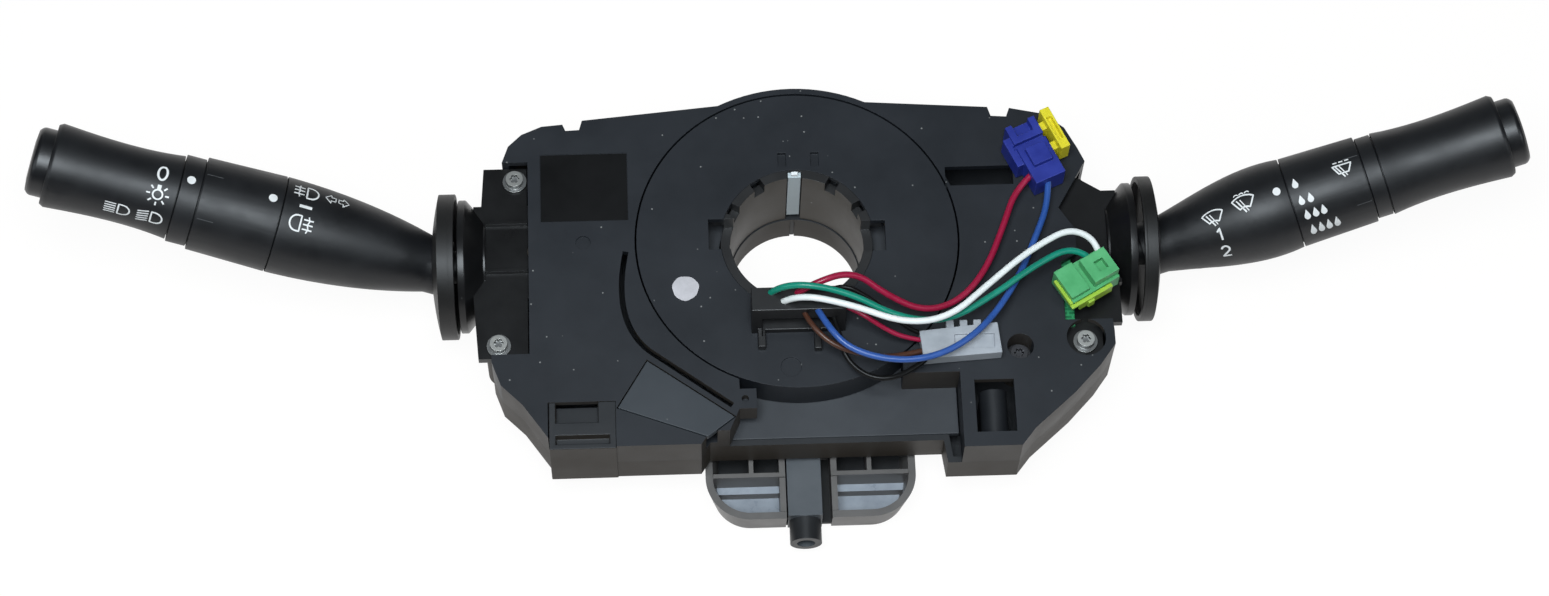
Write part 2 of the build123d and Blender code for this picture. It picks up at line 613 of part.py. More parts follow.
# Flanged screws; the three that hold the modules are alike.
def flanged_screw(x, y, seat):
    screw = disc(SCREW_R, seat - SCREW_LEN, seat, x, y)
    screw += disc(SCREW_HEAD_R, seat, seat + FLANGE_H, x, y)
    screw += disc(SCREW_HEAD_R - FLANGE_STEP, seat + FLANGE_H, seat + SCREW_HEAD_H, x, y)
    lobes = Circle(LOBE_AT) + PolarLocations(LOBE_AT, 6) * Circle(LOBE_R)
    recess = extrude(Pos(x, y, seat + SCREW_HEAD_H - LOBE_DEEP) * lobes, amount=SCREW_HEAD_H)
    return screw - recess


save("module_screws", Compound(children=[flanged_screw(x, y, wing_top_z) for x, y in screws_at]))
save("cover_screw", flanged_screw(*COVER_SCREW, COVER_SCREW_SEAT_Z))

# Rotor disc with its skirt.
rotor = disc(ROTOR_R, SPLIT_Z + ROTOR_LIFT, FACE_Z)
rotor -= disc(ROTOR_R - ROTOR_WALL, 0, PLATE_LOW_Z)
rotor -= disc(HUB_OUT_R + SCREW_HOLE_GAP, 0, FAR_Z)
pocket = block(POCKET_IN_X, POCKET_X + POCKET_W / 2, -POCKET_H / 2, POCKET_H / 2, POCKET_LOW_Z, FAR_Z)
pockets = Pos(0, POCKET_LEFT_Y, 0) * Rot(0, 0, 180) * pocket + Pos(0, POCKET_RIGHT_Y, 0) * pocket
rotor -= pockets
slot_low_z = FACE_Z - ROTOR_SLOT_DEEP
for x in ROTOR_SLOTS_X:
    slot_x0 = x - ROTOR_SLOT_W / 2
    rotor -= block(slot_x0, slot_x0 + ROTOR_SLOT_W, ROTOR_SLOT_Y0, ROTOR_SLOT_Y1, slot_low_z, FAR_Z)
rotor -= disc(ROTOR_SPOT_R, FACE_Z - ROTOR_SPOT_DEEP, FAR_Z, *ROTOR_SPOT)
save("rotor_disc", rotor)

# Rotor hub sleeve with castellated top and the slot of the lock key.
hub = disc(HUB_OUT_R, HUB_LOW_Z, FACE_Z)
hub += disc(HUB_FLANGE_R, PLATE_LOW_Z - HUB_FLANGE_T, PLATE_LOW_Z)
hub -= disc(HUB_BORE_R, 0, FAR_Z)
hub -= pockets
castle = block(0, HUB_OUT_R + FAR, -CASTLE_W / 2, CASTLE_W / 2, FACE_Z - CASTLE_DEEP, FAR_Z)
for angle in CASTLE_ANGLES:
    hub -= Rot(0, 0, angle) * castle
key_far = KEY_Y + KEY_T + KEY_GAP
hub -= block(-KEY_W / 2 - KEY_GAP, KEY_W / 2 + KEY_GAP, 0, key_far, 0, FAR_Z)
save("rotor_hub", hub)

# Lock key that holds the rotor until the wheel is fitted.
tip_z = KEY_TOP_Z - KEY_TIP_H
key = block(-KEY_W / 2, KEY_W / 2, KEY_Y, KEY_Y + KEY_T, KEY_LOW_Z, tip_z)
key += block(-KEY_W / 4, KEY_W / 4, KEY_Y + KEY_TIP_STEP, KEY_Y + KEY_T - KEY_TIP_STEP, tip_z, KEY_TOP_Z)
save("lock_key", key)

# Harness socket on the rotor face, with two ribs below it.
side_view = Polyline(*[(0, y, z) for y, z in HARNESS_SIDE], close=True)
harness = extrude(make_face(side_view), amount=HARNESS_HALF, both=True)
harness += block(-13.5, -10.9, -40, -33, FACE_Z, FACE_Z + HARNESS_RIB_H)
harness += block(5, 7.4, -41, -33, FACE_Z, FACE_Z + HARNESS_RIB_H)
room_low_z = FACE_Z + HARNESS_ROOM_LOW
harness -= block(-HARNESS_ROOM_X, HARNESS_ROOM_X, -36, HARNESS_ROOM_Y, room_low_z, FACE_Z + HARNESS_ROOM_HIGH)
harness = Pos(HARNESS_X, 0, 0) * harness
save("harness_socket", harness)

# Plugs on the harness, lying just above the cover, each turned about its own middle.
blue = block(-BLUE_HALF_L, BLUE_HALF_L, -BLUE_HALF_W, BLUE_HALF_W, PLUG_LOW_Z, PLUG_TOP_Z)
blue += block(-8, 3, -8, -BLUE_HALF_W, PLUG_LOW_Z, PLUG_TOP_Z - 1)
blue += block(-1, 6, -3.5, 3.5, PLUG_TOP_Z, PLUG_TOP_Z + 2)
blue -= block(-12, -7, -3, 3, PLUG_TOP_Z - 3, FAR_Z)
blue -= block(-4.5, -3, -6, 6, PLUG_TOP_Z - 2, FAR_Z)
save("blue_plug", BLUE_PLACE * blue)
clip = block(-12, 4, CLIP_NEAR, CLIP_FAR, PLUG_LOW_Z + 2, PLUG_TOP_Z + 1)
clip += block(-9, -6, BLUE_HALF_W, CLIP_NEAR, PLUG_LOW_Z + 2, PLUG_TOP_Z - 2)
clip += block(-1, 2, BLUE_HALF_W, CLIP_NEAR, PLUG_LOW_Z + 2, PLUG_TOP_Z - 2)
clip -= block(-8.5, 0.5, CLIP_NEAR + 0.8, CLIP_FAR - 0.8, PLUG_TOP_Z - 1, FAR_Z)
save("yellow_clip", BLUE_PLACE * clip)
green = block(GREEN_BACK, GREEN_FRONT, -GREEN_HALF_W, GREEN_HALF_W, PLUG_LOW_Z, PLUG_TOP_Z - 3)
green += block(GREEN_BACK, -2, -5, GREEN_HALF_W, PLUG_TOP_Z - 3, PLUG_TOP_Z - 1)
green += block(0, GREEN_FRONT, -5, 4.5, PLUG_TOP_Z - 3, PLUG_TOP_Z + 1)
green -= block(3.5, 7, -2.5, 1.5, PLUG_TOP_Z - 1.5, FAR_Z)
for y in GREEN_HOLES:
    hole_y0 = y - GREEN_HOLE_W / 2
    green -= block(-10, -6.5, hole_y0, hole_y0 + GREEN_HOLE_W, PLUG_LOW_Z + 2, PLUG_LOW_Z + 4.5)
save("green_plug", GREEN_PLACE * green)
lock = block(-7, 6, -LOCK_OUT, -GREEN_HALF_W, PLUG_LOW_Z + 1, PLUG_TOP_Z - 4)
lock += block(-4, -1.5, -8.2, -LOCK_OUT, PLUG_LOW_Z + 1, PLUG_TOP_Z - 5)
lock += block(-10.2, GREEN_BACK, -GREEN_HALF_W, 4, PLUG_LOW_Z + 5, PLUG_TOP_Z - 3)
lock += block(-10.2, -7, -LOCK_OUT, -GREEN_HALF_W, PLUG_LOW_Z + 5, PLUG_TOP_Z - 4)
save("green_plug_lock", GREEN_PLACE * lock)
grey = slab(polygon(GREY_PLUG), PLUG_LOW_Z, PLUG_LOW_Z + GREY_H)
for x in GREY_FINS_X:
    grey += block(x, x + GREY_FIN_W, -37.5, -33, PLUG_LOW_Z, PLUG_LOW_Z + GREY_FIN_H)
grey -= block(50, 63, -43.5, -38.5, PLUG_LOW_Z + GREY_FIN_H, FAR_Z)
save("grey_plug", grey)

# Wires from the harness socket to the plugs: diameter, then the corner points of each route.
WIRES = {
    "wire_green": (2.2, [
        (-11, -25, 55.5), (-6, -25, 66), (14, -27.5, 63.5), (32, -36, 58.5), (48, -36.5, 56.8),
        (63, -27.5, 56.4), (74.5, -19.2, 56.3), (82.5, -14.3, 56.2), (88, -11.7, 55.9),
        (93.3, -11.9, 54.4), (97.5, -14.7, 52.1), (99.2, -18.8, 49.9),
    ]),
    "wire_white": (2.2, [
        (-7, -28, 55.5), (-2, -29, 65), (15.5, -32, 62.5), (33, -39, 61.5), (48, -37, 61),
        (61.5, -25, 60), (72.5, -15.5, 59.4), (81, -9.8, 59), (88.2, -6, 58.8),
        (94.1, -6.2, 57), (98.6, -9, 54.2), (100.1, -13.6, 51.5),
    ]),
    "wire_red": (2.2, [
        (-3, -25.5, 55.5), (3, -24.8, 63), (17, -19.5, 61.5), (28, -25.5, 54.5), (40.5, -30.5, 51),
        (53, -26.5, 50.5), (62.5, -14.5, 50.5), (69, 1.5, 50.5), (73.5, 13.5, 51), (80.5, 19.5, 52),
    ]),
    "wire_blue": (2.2, [
        (4.5, -29, 55.5), (7.5, -38, 60.5), (15, -46.5, 58.5), (30.5, -50.5, 57), (45.5, -48.5, 57),
        (59.5, -38.5, 55), (71.5, -21, 51.5), (80, -2, 50.5), (84, 8.5, 50.8), (84.6, 17.5, 51),
    ]),
    "wire_brown": (1.8, [
        (0, -29, 54.5), (2.5, -37, 57.5), (11, -44.5, 55.5),
        (24, -46.5, 52), (32.5, -45.3, 49.7), (40, -43, 48.2),
    ]),
    "wire_red_thin": (1.6, [
        (11, -28, 55), (17.5, -32, 58), (27, -37.5, 54), (33.5, -39.3, 50.5), (40, -39.5, 48.2),
    ]),
    "wire_black_short": (1.6, [
        (7.5, -25, 55), (12.5, -23, 60), (22.5, -27.5, 57),
        (31.5, -34, 52.5), (36.5, -36.7, 49.6), (40.5, -37.2, 48.2),
    ]),
    "wire_black_loop": (1.8, [
        (9.5, -28, 52), (12, -38, 53.5), (14, -47, 50.5),
        (22.5, -53.5, 49.5), (33, -52.5, 49.5), (40.5, -46, 48.2),
    ]),
}
BEND_SHARE = 0.45


def corner_radii(points):
    radii = []
    for before, corner, after in zip(points, points[1:], points[2:]):
        run_in = Vector(corner) - Vector(before)
        run_out = Vector(after) - Vector(corner)
        half_turn = math.radians(run_in.get_angle(run_out)) / 2
        radii.append(BEND_SHARE * min(run_in.length, run_out.length) / math.tan(half_turn))
    return radii


for wire, (thick, points) in WIRES.items():
    radii = corner_radii(points)
    path = FilletPolyline(*points, radius=radii)
    start = Plane(origin=path @ 0, z_dir=path % 0)
    tube = sweep(start * Circle(thick / 2), path=path)
    area = math.pi * thick * thick / 4
    print(wire, "length", round(path.length, 1), "least radius", round(min(radii), 1))
    print(wire, "volume over section times length", round(tube.volume / area / path.length, 3))
    save(wire, tube)


# Switch modules and stalks.
def stalk_plane(sign):
    flat = math.cos(math.radians(STALK_PITCH))
    x = sign * flat * math.cos(math.radians(STALK_YAW))
    y = flat * math.sin(math.radians(STALK_YAW))
    z = math.sin(math.radians(STALK_PITCH))
    return Plane(origin=(sign * SHIELD_X, 0, PIVOT_Z), z_dir=(x, y, z))


def smooth(points, back):
    outer = Spline(*[(r, 0, s) for r, s in points])
    ends = [points[-1]] + back + [points[0]]
    rest = Polyline(*[(r, 0, s) for r, s in ends])
    return revolve(make_face(outer.edges() + rest.edges()), axis=Axis.Z)


def module(name, sign, ring, collar, head, end, tip, ring_r):
    def part_box(x0, x1, y0, y1, z0, z1):
        mid = sign * PIVOT_X
        return block(mid + sign * x0, mid + sign * x1, y0, y1, PIVOT_Z + z0, PIVOT_Z + z1)

    place = stalk_plane(sign)
    inward = CASE_IN_X - PIVOT_X
    outward = CASE_OUT_X - PIVOT_X

    # Switch case, open towards the stalk.
    case = part_box(inward, outward, -CASE_HALF_Y, CASE_HALF_Y, -CASE_HALF_Z, CASE_HALF_Z)
    if sign < 0:
        case += slab(polygon(LEFT_WING), wing_low_z, wing_top_z)
        for y in RIBS_Y:
            rib_y0 = y - RIB_T / 2
            rib_x1 = LEFT_CUT_X - WING_GAP
            case += block(-NOSE_X0, rib_x1, rib_y0, rib_y0 + RIB_T, wing_low_z, wing_top_z + RIB_H)
    else:
        case += slab(polygon(WING_TOP + WING_LOW), wing_low_z, wing_top_z)
    case += along_x(NOSE_R, sign * NOSE_X0, sign * NOSE_X1, 0, PIVOT_Z)
    case -= along_x(NOSE_R - NOSE_WALL, sign * (NOSE_X0 + NOSE_WALL), sign * (NOSE_X1 + FAR), 0, PIVOT_Z)
    room_y = CASE_HALF_Y - CASE_WALL
    room_z = CASE_HALF_Z - CASE_WALL
    room_out = NOSE_X0 + NOSE_WALL - PIVOT_X
    case -= part_box(inward + CASE_WALL, room_out, -room_y, room_y, -room_z, room_z)
    case -= disc(TRUNNION_R + RUN_GAP, 0, FAR_Z, sign * PIVOT_X, 0)
    for x, y in screws_at:
        case -= disc(SCREW_R + CASE_HOLE_GAP, 0, FAR_Z, x, y)
    save(name + "_case", case)

    # Contact board on the roof of the case.
    board_top = CASE_HALF_Z + BOARD_T
    if sign < 0:
        half_y = CONTACT_LEFT_HALF_Y
        contact = part_box(-CONTACT_IN, CONTACT_LEFT_OUT, -half_y, half_y, CASE_HALF_Z, board_top)
    else:
        low_y = CONTACT_RIGHT_LOW_Y
        contact = part_box(-CONTACT_IN, CONTACT_RIGHT_OUT, low_y, CONTACT_RIGHT_TOP_Y, CASE_HALF_Z, board_top)
    save(name + "_contact_board", contact)

    # Carrier yoke that swings about the upright trunnions.
    yoke_y = CARRIER_HALF_Y
    carrier = part_box(-CARRIER_IN, CARRIER_OUT, -yoke_y, yoke_y, -CARRIER_HALF_Z, CARRIER_HALF_Z)
    cheek_in = CARRIER_HALF_Y - CHEEK_T
    yoke_in = CARRIER_HALF_Z - YOKE_T
    carrier -= part_box(-FAR, FAR, -cheek_in, cheek_in, -yoke_in, yoke_in)
    carrier -= part_box(YOKE_OUT, FAR, -cheek_in, cheek_in, -FAR, FAR)
    trunnion = disc(TRUNNION_R, PIVOT_Z - CASE_HALF_Z, PIVOT_Z + CASE_HALF_Z, sign * PIVOT_X, 0)
    carrier += trunnion - part_box(-FAR, FAR, -cheek_in, cheek_in, -yoke_in, yoke_in)
    carrier -= along_y(PIN_R + RUN_GAP, -FAR, FAR, sign * PIVOT_X, PIVOT_Z)
    save(name + "_carrier", carrier)

    # Lever: root block, neck, hollow grip and the core tube of the turning pieces.
    grip_end = ring - JOINT_GAP / 2
    grip = smooth(
        [(LEVER_ROOT_R, GRIP_START), GRIP_LOW, (GRIP_HIGH_R, ring * GRIP_HIGH), (ring_r, grip_end)],
        [(0, grip_end), (0, LEVER_START), (LEVER_ROOT_R, LEVER_START)],
    )
    grip += disc(CORE_R, ring - WALL, end - CAVITY_DEEP - WALL)
    grip += disc(ring_r - LIP_STEP, ring - WALL, ring + JOINT_GAP / 2 + LIP_LEN)
    grip -= disc(CORE_BORE_R, CORE_BORE_START, end)
    lever = place * grip
    lever += part_box(-ROOT_IN, ROOT_OUT, -ROOT_HALF_Y, ROOT_HALF_Y, -ROOT_HALF_Z, ROOT_HALF_Z)
    neck_start = sign * (PIVOT_X + ROOT_OUT - WALL)
    lever += along_x(NECK_R, neck_start, sign * SHIELD_X, 0, PIVOT_Z)
    lever -= along_y(PIN_R, -FAR, FAR, sign * PIVOT_X, PIVOT_Z)
    save(name + "_lever", lever)
    save(name + "_lever_pin", along_y(PIN_R, -PIN_HALF, PIN_HALF, sign * PIVOT_X, PIVOT_Z))

    # Dust shield: a slightly domed disc with its rim turned towards the case.
    dome_r = (SHIELD_R**2 + SHIELD_DOME**2) / (2 * SHIELD_DOME)
    half_r = SHIELD_R / 2
    half_x = math.sqrt(dome_r**2 - half_r**2) - dome_r + SHIELD_DOME
    outside = ThreePointArc((SHIELD_DOME, 0), (half_x, half_r), (0, SHIELD_R))
    rim_in = SHIELD_R - SHIELD_T
    inside = ThreePointArc((-SHIELD_T, rim_in), (half_x - SHIELD_T, half_r), (SHIELD_DOME - SHIELD_T, 0))
    rim_x = -SHIELD_T - SHIELD_RIM
    rim = Polyline(outside @ 1, (rim_x, SHIELD_R), (rim_x, rim_in), inside @ 0)
    shield = revolve(make_face([outside, rim, inside, Line(inside @ 1, outside @ 0)]), Axis.X)
    shield = Pos(sign * SHIELD_X, 0, PIVOT_Z) * Rot(0, 0, 90 - 90 * sign) * shield - lever
    save(name + "_shield", shield)

    # Turning ring, fixed index collar, turning head and push button. The lever and the collar have
    # lips that reach into the turning pieces, so that no light shows through the joints.
    low = ring + JOINT_GAP / 2
    high = collar - JOINT_GAP / 2
    bore = CORE_R + RUN_GAP
    top_r = ring_r - RING_TAPER
    lip_room = LIP_LEN + LIP_GAP
    low_mouth = ring_r - LIP_STEP + LIP_GAP
    high_mouth = top_r - LIP_STEP + LIP_GAP
    ring_points = [(bore, low + lip_room), (low_mouth, low + lip_room), (low_mouth, low), (ring_r, low)]
    ring_points += [(top_r, high), (high_mouth, high), (high_mouth, high - lip_room), (bore, high - lip_room)]
    save(name + "_ring", place * turned(ring_points))
    index_r = top_r - COLLAR_STEP
    low = collar + JOINT_GAP / 2
    high = head - JOINT_GAP / 2
    lip_low = collar - JOINT_GAP / 2 - LIP_LEN
    lip_high = head + JOINT_GAP / 2 + LIP_LEN
    head_lip_r = HEAD_R - LIP_STEP
    collar_points = [(CORE_R, lip_low), (top_r - LIP_STEP, lip_low), (top_r - LIP_STEP, low), (index_r, low)]
    collar_points += [(index_r, high), (head_lip_r, high), (head_lip_r, lip_high), (CORE_R, lip_high)]
    save(name + "_index_collar", place * turned(collar_points))
    low = head + JOINT_GAP / 2
    cavity_r = BUTTON_R + BUTTON_GAP
    middle = (head + end) / 2
    grip_points = [(HEAD_R, low), (HEAD_WAIST_R, middle - HEAD_WAIST)]
    grip_points += [(HEAD_RISE_R, middle + HEAD_WAIST), (HEAD_R, end - HEAD_EDGE)]
    inner = [(HEAD_R - HEAD_LIP, end), (cavity_r, end), (cavity_r, end - CAVITY_DEEP)]
    head_mouth = head_lip_r + LIP_GAP
    inner += [(bore, end - CAVITY_DEEP), (bore, low + lip_room)]
    inner += [(head_mouth, low + lip_room), (head_mouth, low)]
    save(name + "_head", place * smooth(grip_points, inner))
    start = end - BUTTON_DEEP
    stem = end - CAVITY_DEEP - BUTTON_STEM
    button_points = [(0, stem), (BUTTON_STEM_R, stem), (BUTTON_STEM_R, start), (BUTTON_R, start)]
    button_points += [(BUTTON_R, tip - BUTTON_EDGE), (BUTTON_R - BUTTON_ROUND, tip - BUTTON_CROWN)]
    button_points += [(BUTTON_R - BUTTON_FLAT, tip), (0, tip)]
    save(name + "_button", place * turned(button_points))


module("left", -1, LEFT_RING, LEFT_COLLAR, LEFT_HEAD, LEFT_END, LEFT_TIP, LEFT_RING_R)
module("right", 1, RIGHT_RING, RIGHT_COLLAR, RIGHT_HEAD, RIGHT_END, RIGHT_TIP, RIGHT_RING_R)
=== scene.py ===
import json
import math

import bpy
from mathutils import Matrix, Vector

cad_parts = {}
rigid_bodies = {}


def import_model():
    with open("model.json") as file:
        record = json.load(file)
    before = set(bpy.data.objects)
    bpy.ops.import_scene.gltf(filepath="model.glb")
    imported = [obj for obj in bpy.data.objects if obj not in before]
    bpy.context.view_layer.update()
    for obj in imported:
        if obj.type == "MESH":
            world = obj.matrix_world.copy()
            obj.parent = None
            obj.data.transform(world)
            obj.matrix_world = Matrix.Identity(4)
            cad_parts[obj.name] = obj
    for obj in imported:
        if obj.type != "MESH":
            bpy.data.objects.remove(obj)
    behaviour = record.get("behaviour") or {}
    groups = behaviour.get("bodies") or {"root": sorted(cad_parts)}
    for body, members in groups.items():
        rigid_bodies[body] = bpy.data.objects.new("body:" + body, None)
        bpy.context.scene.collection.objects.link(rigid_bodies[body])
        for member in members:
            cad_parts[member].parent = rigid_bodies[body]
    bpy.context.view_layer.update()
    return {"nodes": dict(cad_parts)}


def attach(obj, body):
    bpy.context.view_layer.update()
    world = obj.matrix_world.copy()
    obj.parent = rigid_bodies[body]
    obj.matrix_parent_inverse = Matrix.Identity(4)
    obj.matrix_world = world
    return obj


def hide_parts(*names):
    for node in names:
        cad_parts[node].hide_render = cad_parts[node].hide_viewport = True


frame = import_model()

# Rear tray and column collar: black glass-filled nylon, injection moulded.
# The tray carries every other piece; the collar is split so that the clamp band can close it on the column.


def shader_group(name, inputs, outputs):
    group = bpy.data.node_groups.new(name, "ShaderNodeTree")
    for label, kind, value in inputs:
        socket = group.interface.new_socket(label, in_out="INPUT", socket_type=kind)
        socket.default_value = value
    for label, kind in outputs:
        group.interface.new_socket(label, in_out="OUTPUT", socket_type=kind)
    return group, group.nodes.new("NodeGroupInput"), group.nodes.new("NodeGroupOutput")


# Moulded grain: fine spark-eroded texture, slow drift of tone and a few specks of dust.
SPECKS_PER_METRE, SPECK_CORE, SPECK_EDGE = 330, 0.05, 0.12
number, vector = "NodeSocketFloat", "NodeSocketVector"
moulded_grain, given, result = shader_group(
    "moulded_grain",
    [("Vector", vector, (0, 0, 0)), ("Grain", number, 2600), ("Drift", number, 45), ("Dust", number, 0.1)],
    [("Height", number), ("Patch", number), ("Specks", number)],
)
nodes, links = moulded_grain.nodes, moulded_grain.links
fine = nodes.new("ShaderNodeTexNoise")
fine.inputs["Detail"].default_value = 2
drift = nodes.new("ShaderNodeTexNoise")
drift.inputs["Detail"].default_value = 5
drift.inputs["Roughness"].default_value = 0.62
cells = nodes.new("ShaderNodeTexVoronoi")
cells.inputs["Scale"].default_value = SPECKS_PER_METRE
near = nodes.new("ShaderNodeMapRange")
near.inputs["From Min"].default_value = SPECK_CORE
near.inputs["From Max"].default_value = SPECK_EDGE
near.inputs["To Min"].default_value = 1
near.inputs["To Max"].default_value = 0
chance = nodes.new("ShaderNodeMath")
chance.operation = "LESS_THAN"
specks = nodes.new("ShaderNodeMath")
specks.operation = "MULTIPLY"
links.new(given.outputs["Vector"], fine.inputs["Vector"])
links.new(given.outputs["Grain"], fine.inputs["Scale"])
links.new(given.outputs["Vector"], drift.inputs["Vector"])
links.new(given.outputs["Drift"], drift.inputs["Scale"])
links.new(given.outputs["Vector"], cells.inputs["Vector"])
links.new(cells.outputs["Distance"], near.inputs["Value"])
links.new(cells.outputs["Color"], chance.inputs[0])
links.new(given.outputs["Dust"], chance.inputs[1])
links.new(near.outputs["Result"], specks.inputs[0])
links.new(chance.outputs["Value"], specks.inputs[1])
links.new(fine.outputs["Fac"], result.inputs["Height"])
links.new(drift.outputs["Fac"], result.inputs["Patch"])
links.new(specks.outputs["Value"], result.inputs["Specks"])


# Sockets of a colour Mix node, by number because their names repeat.
MIX_A, MIX_B, MIX_OUT = 6, 7, 2
GRAIN_DEPTH = 0.00005


def moulded_plastic(name, base, worn, rough, grain=2600.0, drift=45.0, dust=0.1, relief=0.25, speck=0.22,
                    shine=0.4):
    """A grained plastic that drifts between two tones, with pale specks of dust."""
    material = bpy.data.materials.new(name)
    material.use_nodes = True
    nodes, links = material.node_tree.nodes, material.node_tree.links
    shader = nodes["Principled BSDF"]
    shader.inputs["Specular IOR Level"].default_value = shine
    place = nodes.new("ShaderNodeTexCoord")
    surface = nodes.new("ShaderNodeGroup")
    surface.node_tree = moulded_grain
    surface.inputs["Grain"].default_value = grain
    surface.inputs["Drift"].default_value = drift
    surface.inputs["Dust"].default_value = dust
    spread = nodes.new("ShaderNodeMapRange")
    spread.inputs["From Min"].default_value = 0.3
    spread.inputs["From Max"].default_value = 0.7
    tone = nodes.new("ShaderNodeMix")
    tone.data_type = "RGBA"
    tone.inputs[MIX_A].default_value = (*base, 1)
    tone.inputs[MIX_B].default_value = (*worn, 1)
    dusted = nodes.new("ShaderNodeMix")
    dusted.data_type = "RGBA"
    dusted.inputs[MIX_B].default_value = (speck, speck, speck * 0.96, 1)
    gloss = nodes.new("ShaderNodeMapRange")
    gloss.inputs["To Min"].default_value = rough - 0.05
    gloss.inputs["To Max"].default_value = rough + 0.08
    bump = nodes.new("ShaderNodeBump")
    bump.inputs["Strength"].default_value = relief
    bump.inputs["Distance"].default_value = GRAIN_DEPTH
    links.new(place.outputs["Object"], surface.inputs["Vector"])
    links.new(surface.outputs["Patch"], spread.inputs["Value"])
    links.new(spread.outputs["Result"], tone.inputs[0])
    links.new(tone.outputs[MIX_OUT], dusted.inputs[MIX_A])
    links.new(surface.outputs["Specks"], dusted.inputs[0])
    links.new(dusted.outputs[MIX_OUT], shader.inputs["Base Color"])
    links.new(spread.outputs["Result"], gloss.inputs["Value"])
    links.new(gloss.outputs["Result"], shader.inputs["Roughness"])
    links.new(surface.outputs["Height"], bump.inputs["Height"])
    links.new(bump.outputs["Normal"], shader.inputs["Normal"])
    return material


def select_only(piece):
    bpy.ops.object.select_all(action="DESELECT")
    piece.select_set(True)
    bpy.context.view_layer.objects.active = piece


BEVEL_ANGLE, SMOOTH_ANGLE = math.radians(38), math.radians(34)


def softened(piece, edge):
    """Small round edges as a mould leaves them, with smooth shading between."""
    select_only(piece)
    bevel = piece.modifiers.new("edge", "BEVEL")
    bevel.width = edge
    bevel.segments = 2
    bevel.limit_method = "ANGLE"
    bevel.angle_limit = BEVEL_ANGLE
    bpy.ops.object.modifier_apply(modifier="edge")
    bpy.ops.object.shade_smooth_by_angle(angle=SMOOTH_ANGLE)
    weigh = piece.modifiers.new("weigh", "WEIGHTED_NORMAL")
    weigh.weight = 100
    weigh.keep_sharp = True
    bpy.ops.object.modifier_apply(modifier="weigh")


MERGE, FLAT_ANGLE = 0.000002, math.radians(0.5)


def finished_node(node, body, material, edge=0.0003):
    """A copy of a CAD node with clean faces, round edges and its finish, in the node's place."""
    select_only(frame["nodes"][node])
    bpy.ops.object.duplicate()
    piece = bpy.context.object
    bpy.ops.object.parent_clear(type="CLEAR_KEEP_TRANSFORM")
    bpy.ops.object.transform_apply(location=True, rotation=True, scale=True)
    piece.name = node + "_finished"
    bpy.ops.object.mode_set(mode="EDIT")
    bpy.ops.mesh.select_all(action="SELECT")
    bpy.ops.mesh.remove_doubles(threshold=MERGE)
    bpy.ops.mesh.dissolve_limited(angle_limit=FLAT_ANGLE)
    bpy.ops.object.mode_set(mode="OBJECT")
    softened(piece, edge)
    piece.data.materials.clear()
    piece.data.materials.append(material)
    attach(piece, body)
    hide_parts(node)
    return piece


def second_finish(piece, finish, chosen):
    """Another finish on the faces that a test picks."""
    piece.data.materials.append(finish)
    for face in piece.data.polygons:
        if chosen(face):
            face.material_index = len(piece.data.materials) - 1


UPWARD = 0.6


def up_face_in_shade(face):
    return face.normal.z > UPWARD


# Lit and shaded copies of one black: the walls are painted lighter and warm brown as painted light from the
# floor, and the faces turned up take a darker cool copy as painted shade.
housing_black = moulded_plastic(
    "housing_black", (0.034, 0.028, 0.0225), (0.045, 0.038, 0.031), 0.5, dust=0.08, shine=0.22
)
shade_copy_black = moulded_plastic("shade_copy_black", (0.0095, 0.0108, 0.013), (0.0155, 0.017, 0.0195), 0.46, dust=0.08)
for node in ("rear_tray", "column_collar"):
    piece = finished_node(node, "housing", housing_black)
    second_finish(piece, shade_copy_black, up_face_in_shade)

# Clamp band, bolt and nut: pressed spring steel and a cap screw, bright zinc plated.
# The band sits in the open round the collar and is drawn tight by the bolt.


def plated_metal(name, base, tint, rough):
    material = bpy.data.materials.new(name)
    material.use_nodes = True
    nodes, links = material.node_tree.nodes, material.node_tree.links
    shader = nodes["Principled BSDF"]
    shader.inputs["Metallic"].default_value = 1
    place = nodes.new("ShaderNodeTexCoord")
    surface = nodes.new("ShaderNodeGroup")
    surface.node_tree = moulded_grain
    surface.inputs["Grain"].default_value = 5200
    surface.inputs["Drift"].default_value = 420
    tone = nodes.new("ShaderNodeMix")
    tone.data_type = "RGBA"
    tone.inputs[MIX_A].default_value = (*base, 1)
    tone.inputs[MIX_B].default_value = (*tint, 1)
    gloss = nodes.new("ShaderNodeMapRange")
    gloss.inputs["To Min"].default_value = rough - 0.1
    gloss.inputs["To Max"].default_value = rough + 0.12
    bump = nodes.new("ShaderNodeBump")
    bump.inputs["Strength"].default_value = 0.12
    bump.inputs["Distance"].default_value = 0.00004
    links.new(place.outputs["Object"], surface.inputs["Vector"])
    links.new(surface.outputs["Patch"], tone.inputs[0])
    links.new(tone.outputs[MIX_OUT], shader.inputs["Base Color"])
    links.new(surface.outputs["Patch"], gloss.inputs["Value"])
    links.new(gloss.outputs["Result"], shader.inputs["Roughness"])
    links.new(surface.outputs["Height"], bump.inputs["Height"])
    links.new(bump.outputs["Normal"], shader.inputs["Normal"])
    return material


zinc = plated_metal("zinc_plate", (0.62, 0.63, 0.62), (0.46, 0.45, 0.41), 0.36)
for node in ("clamp_band", "clamp_bolt", "clamp_nut"):
    finished_node(node, "housing", zinc, 0.00015)

# Sheet in the slit of the collar: a thin black block put in the slit as painted shade. It shuts the slit to
# light.


def thin_block(name, low, high, edge, finish):
    low, high = Vector(low), Vector(high)
    bpy.ops.mesh.primitive_cube_add(size=1)
    piece = bpy.context.object
    piece.name = name
    piece.scale = high - low
    piece.location = (low + high) / 2
    bpy.ops.object.transform_apply(location=True, rotation=True, scale=True)
    softened(piece, edge)
    piece.data.materials.append(finish)
    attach(piece, "housing")


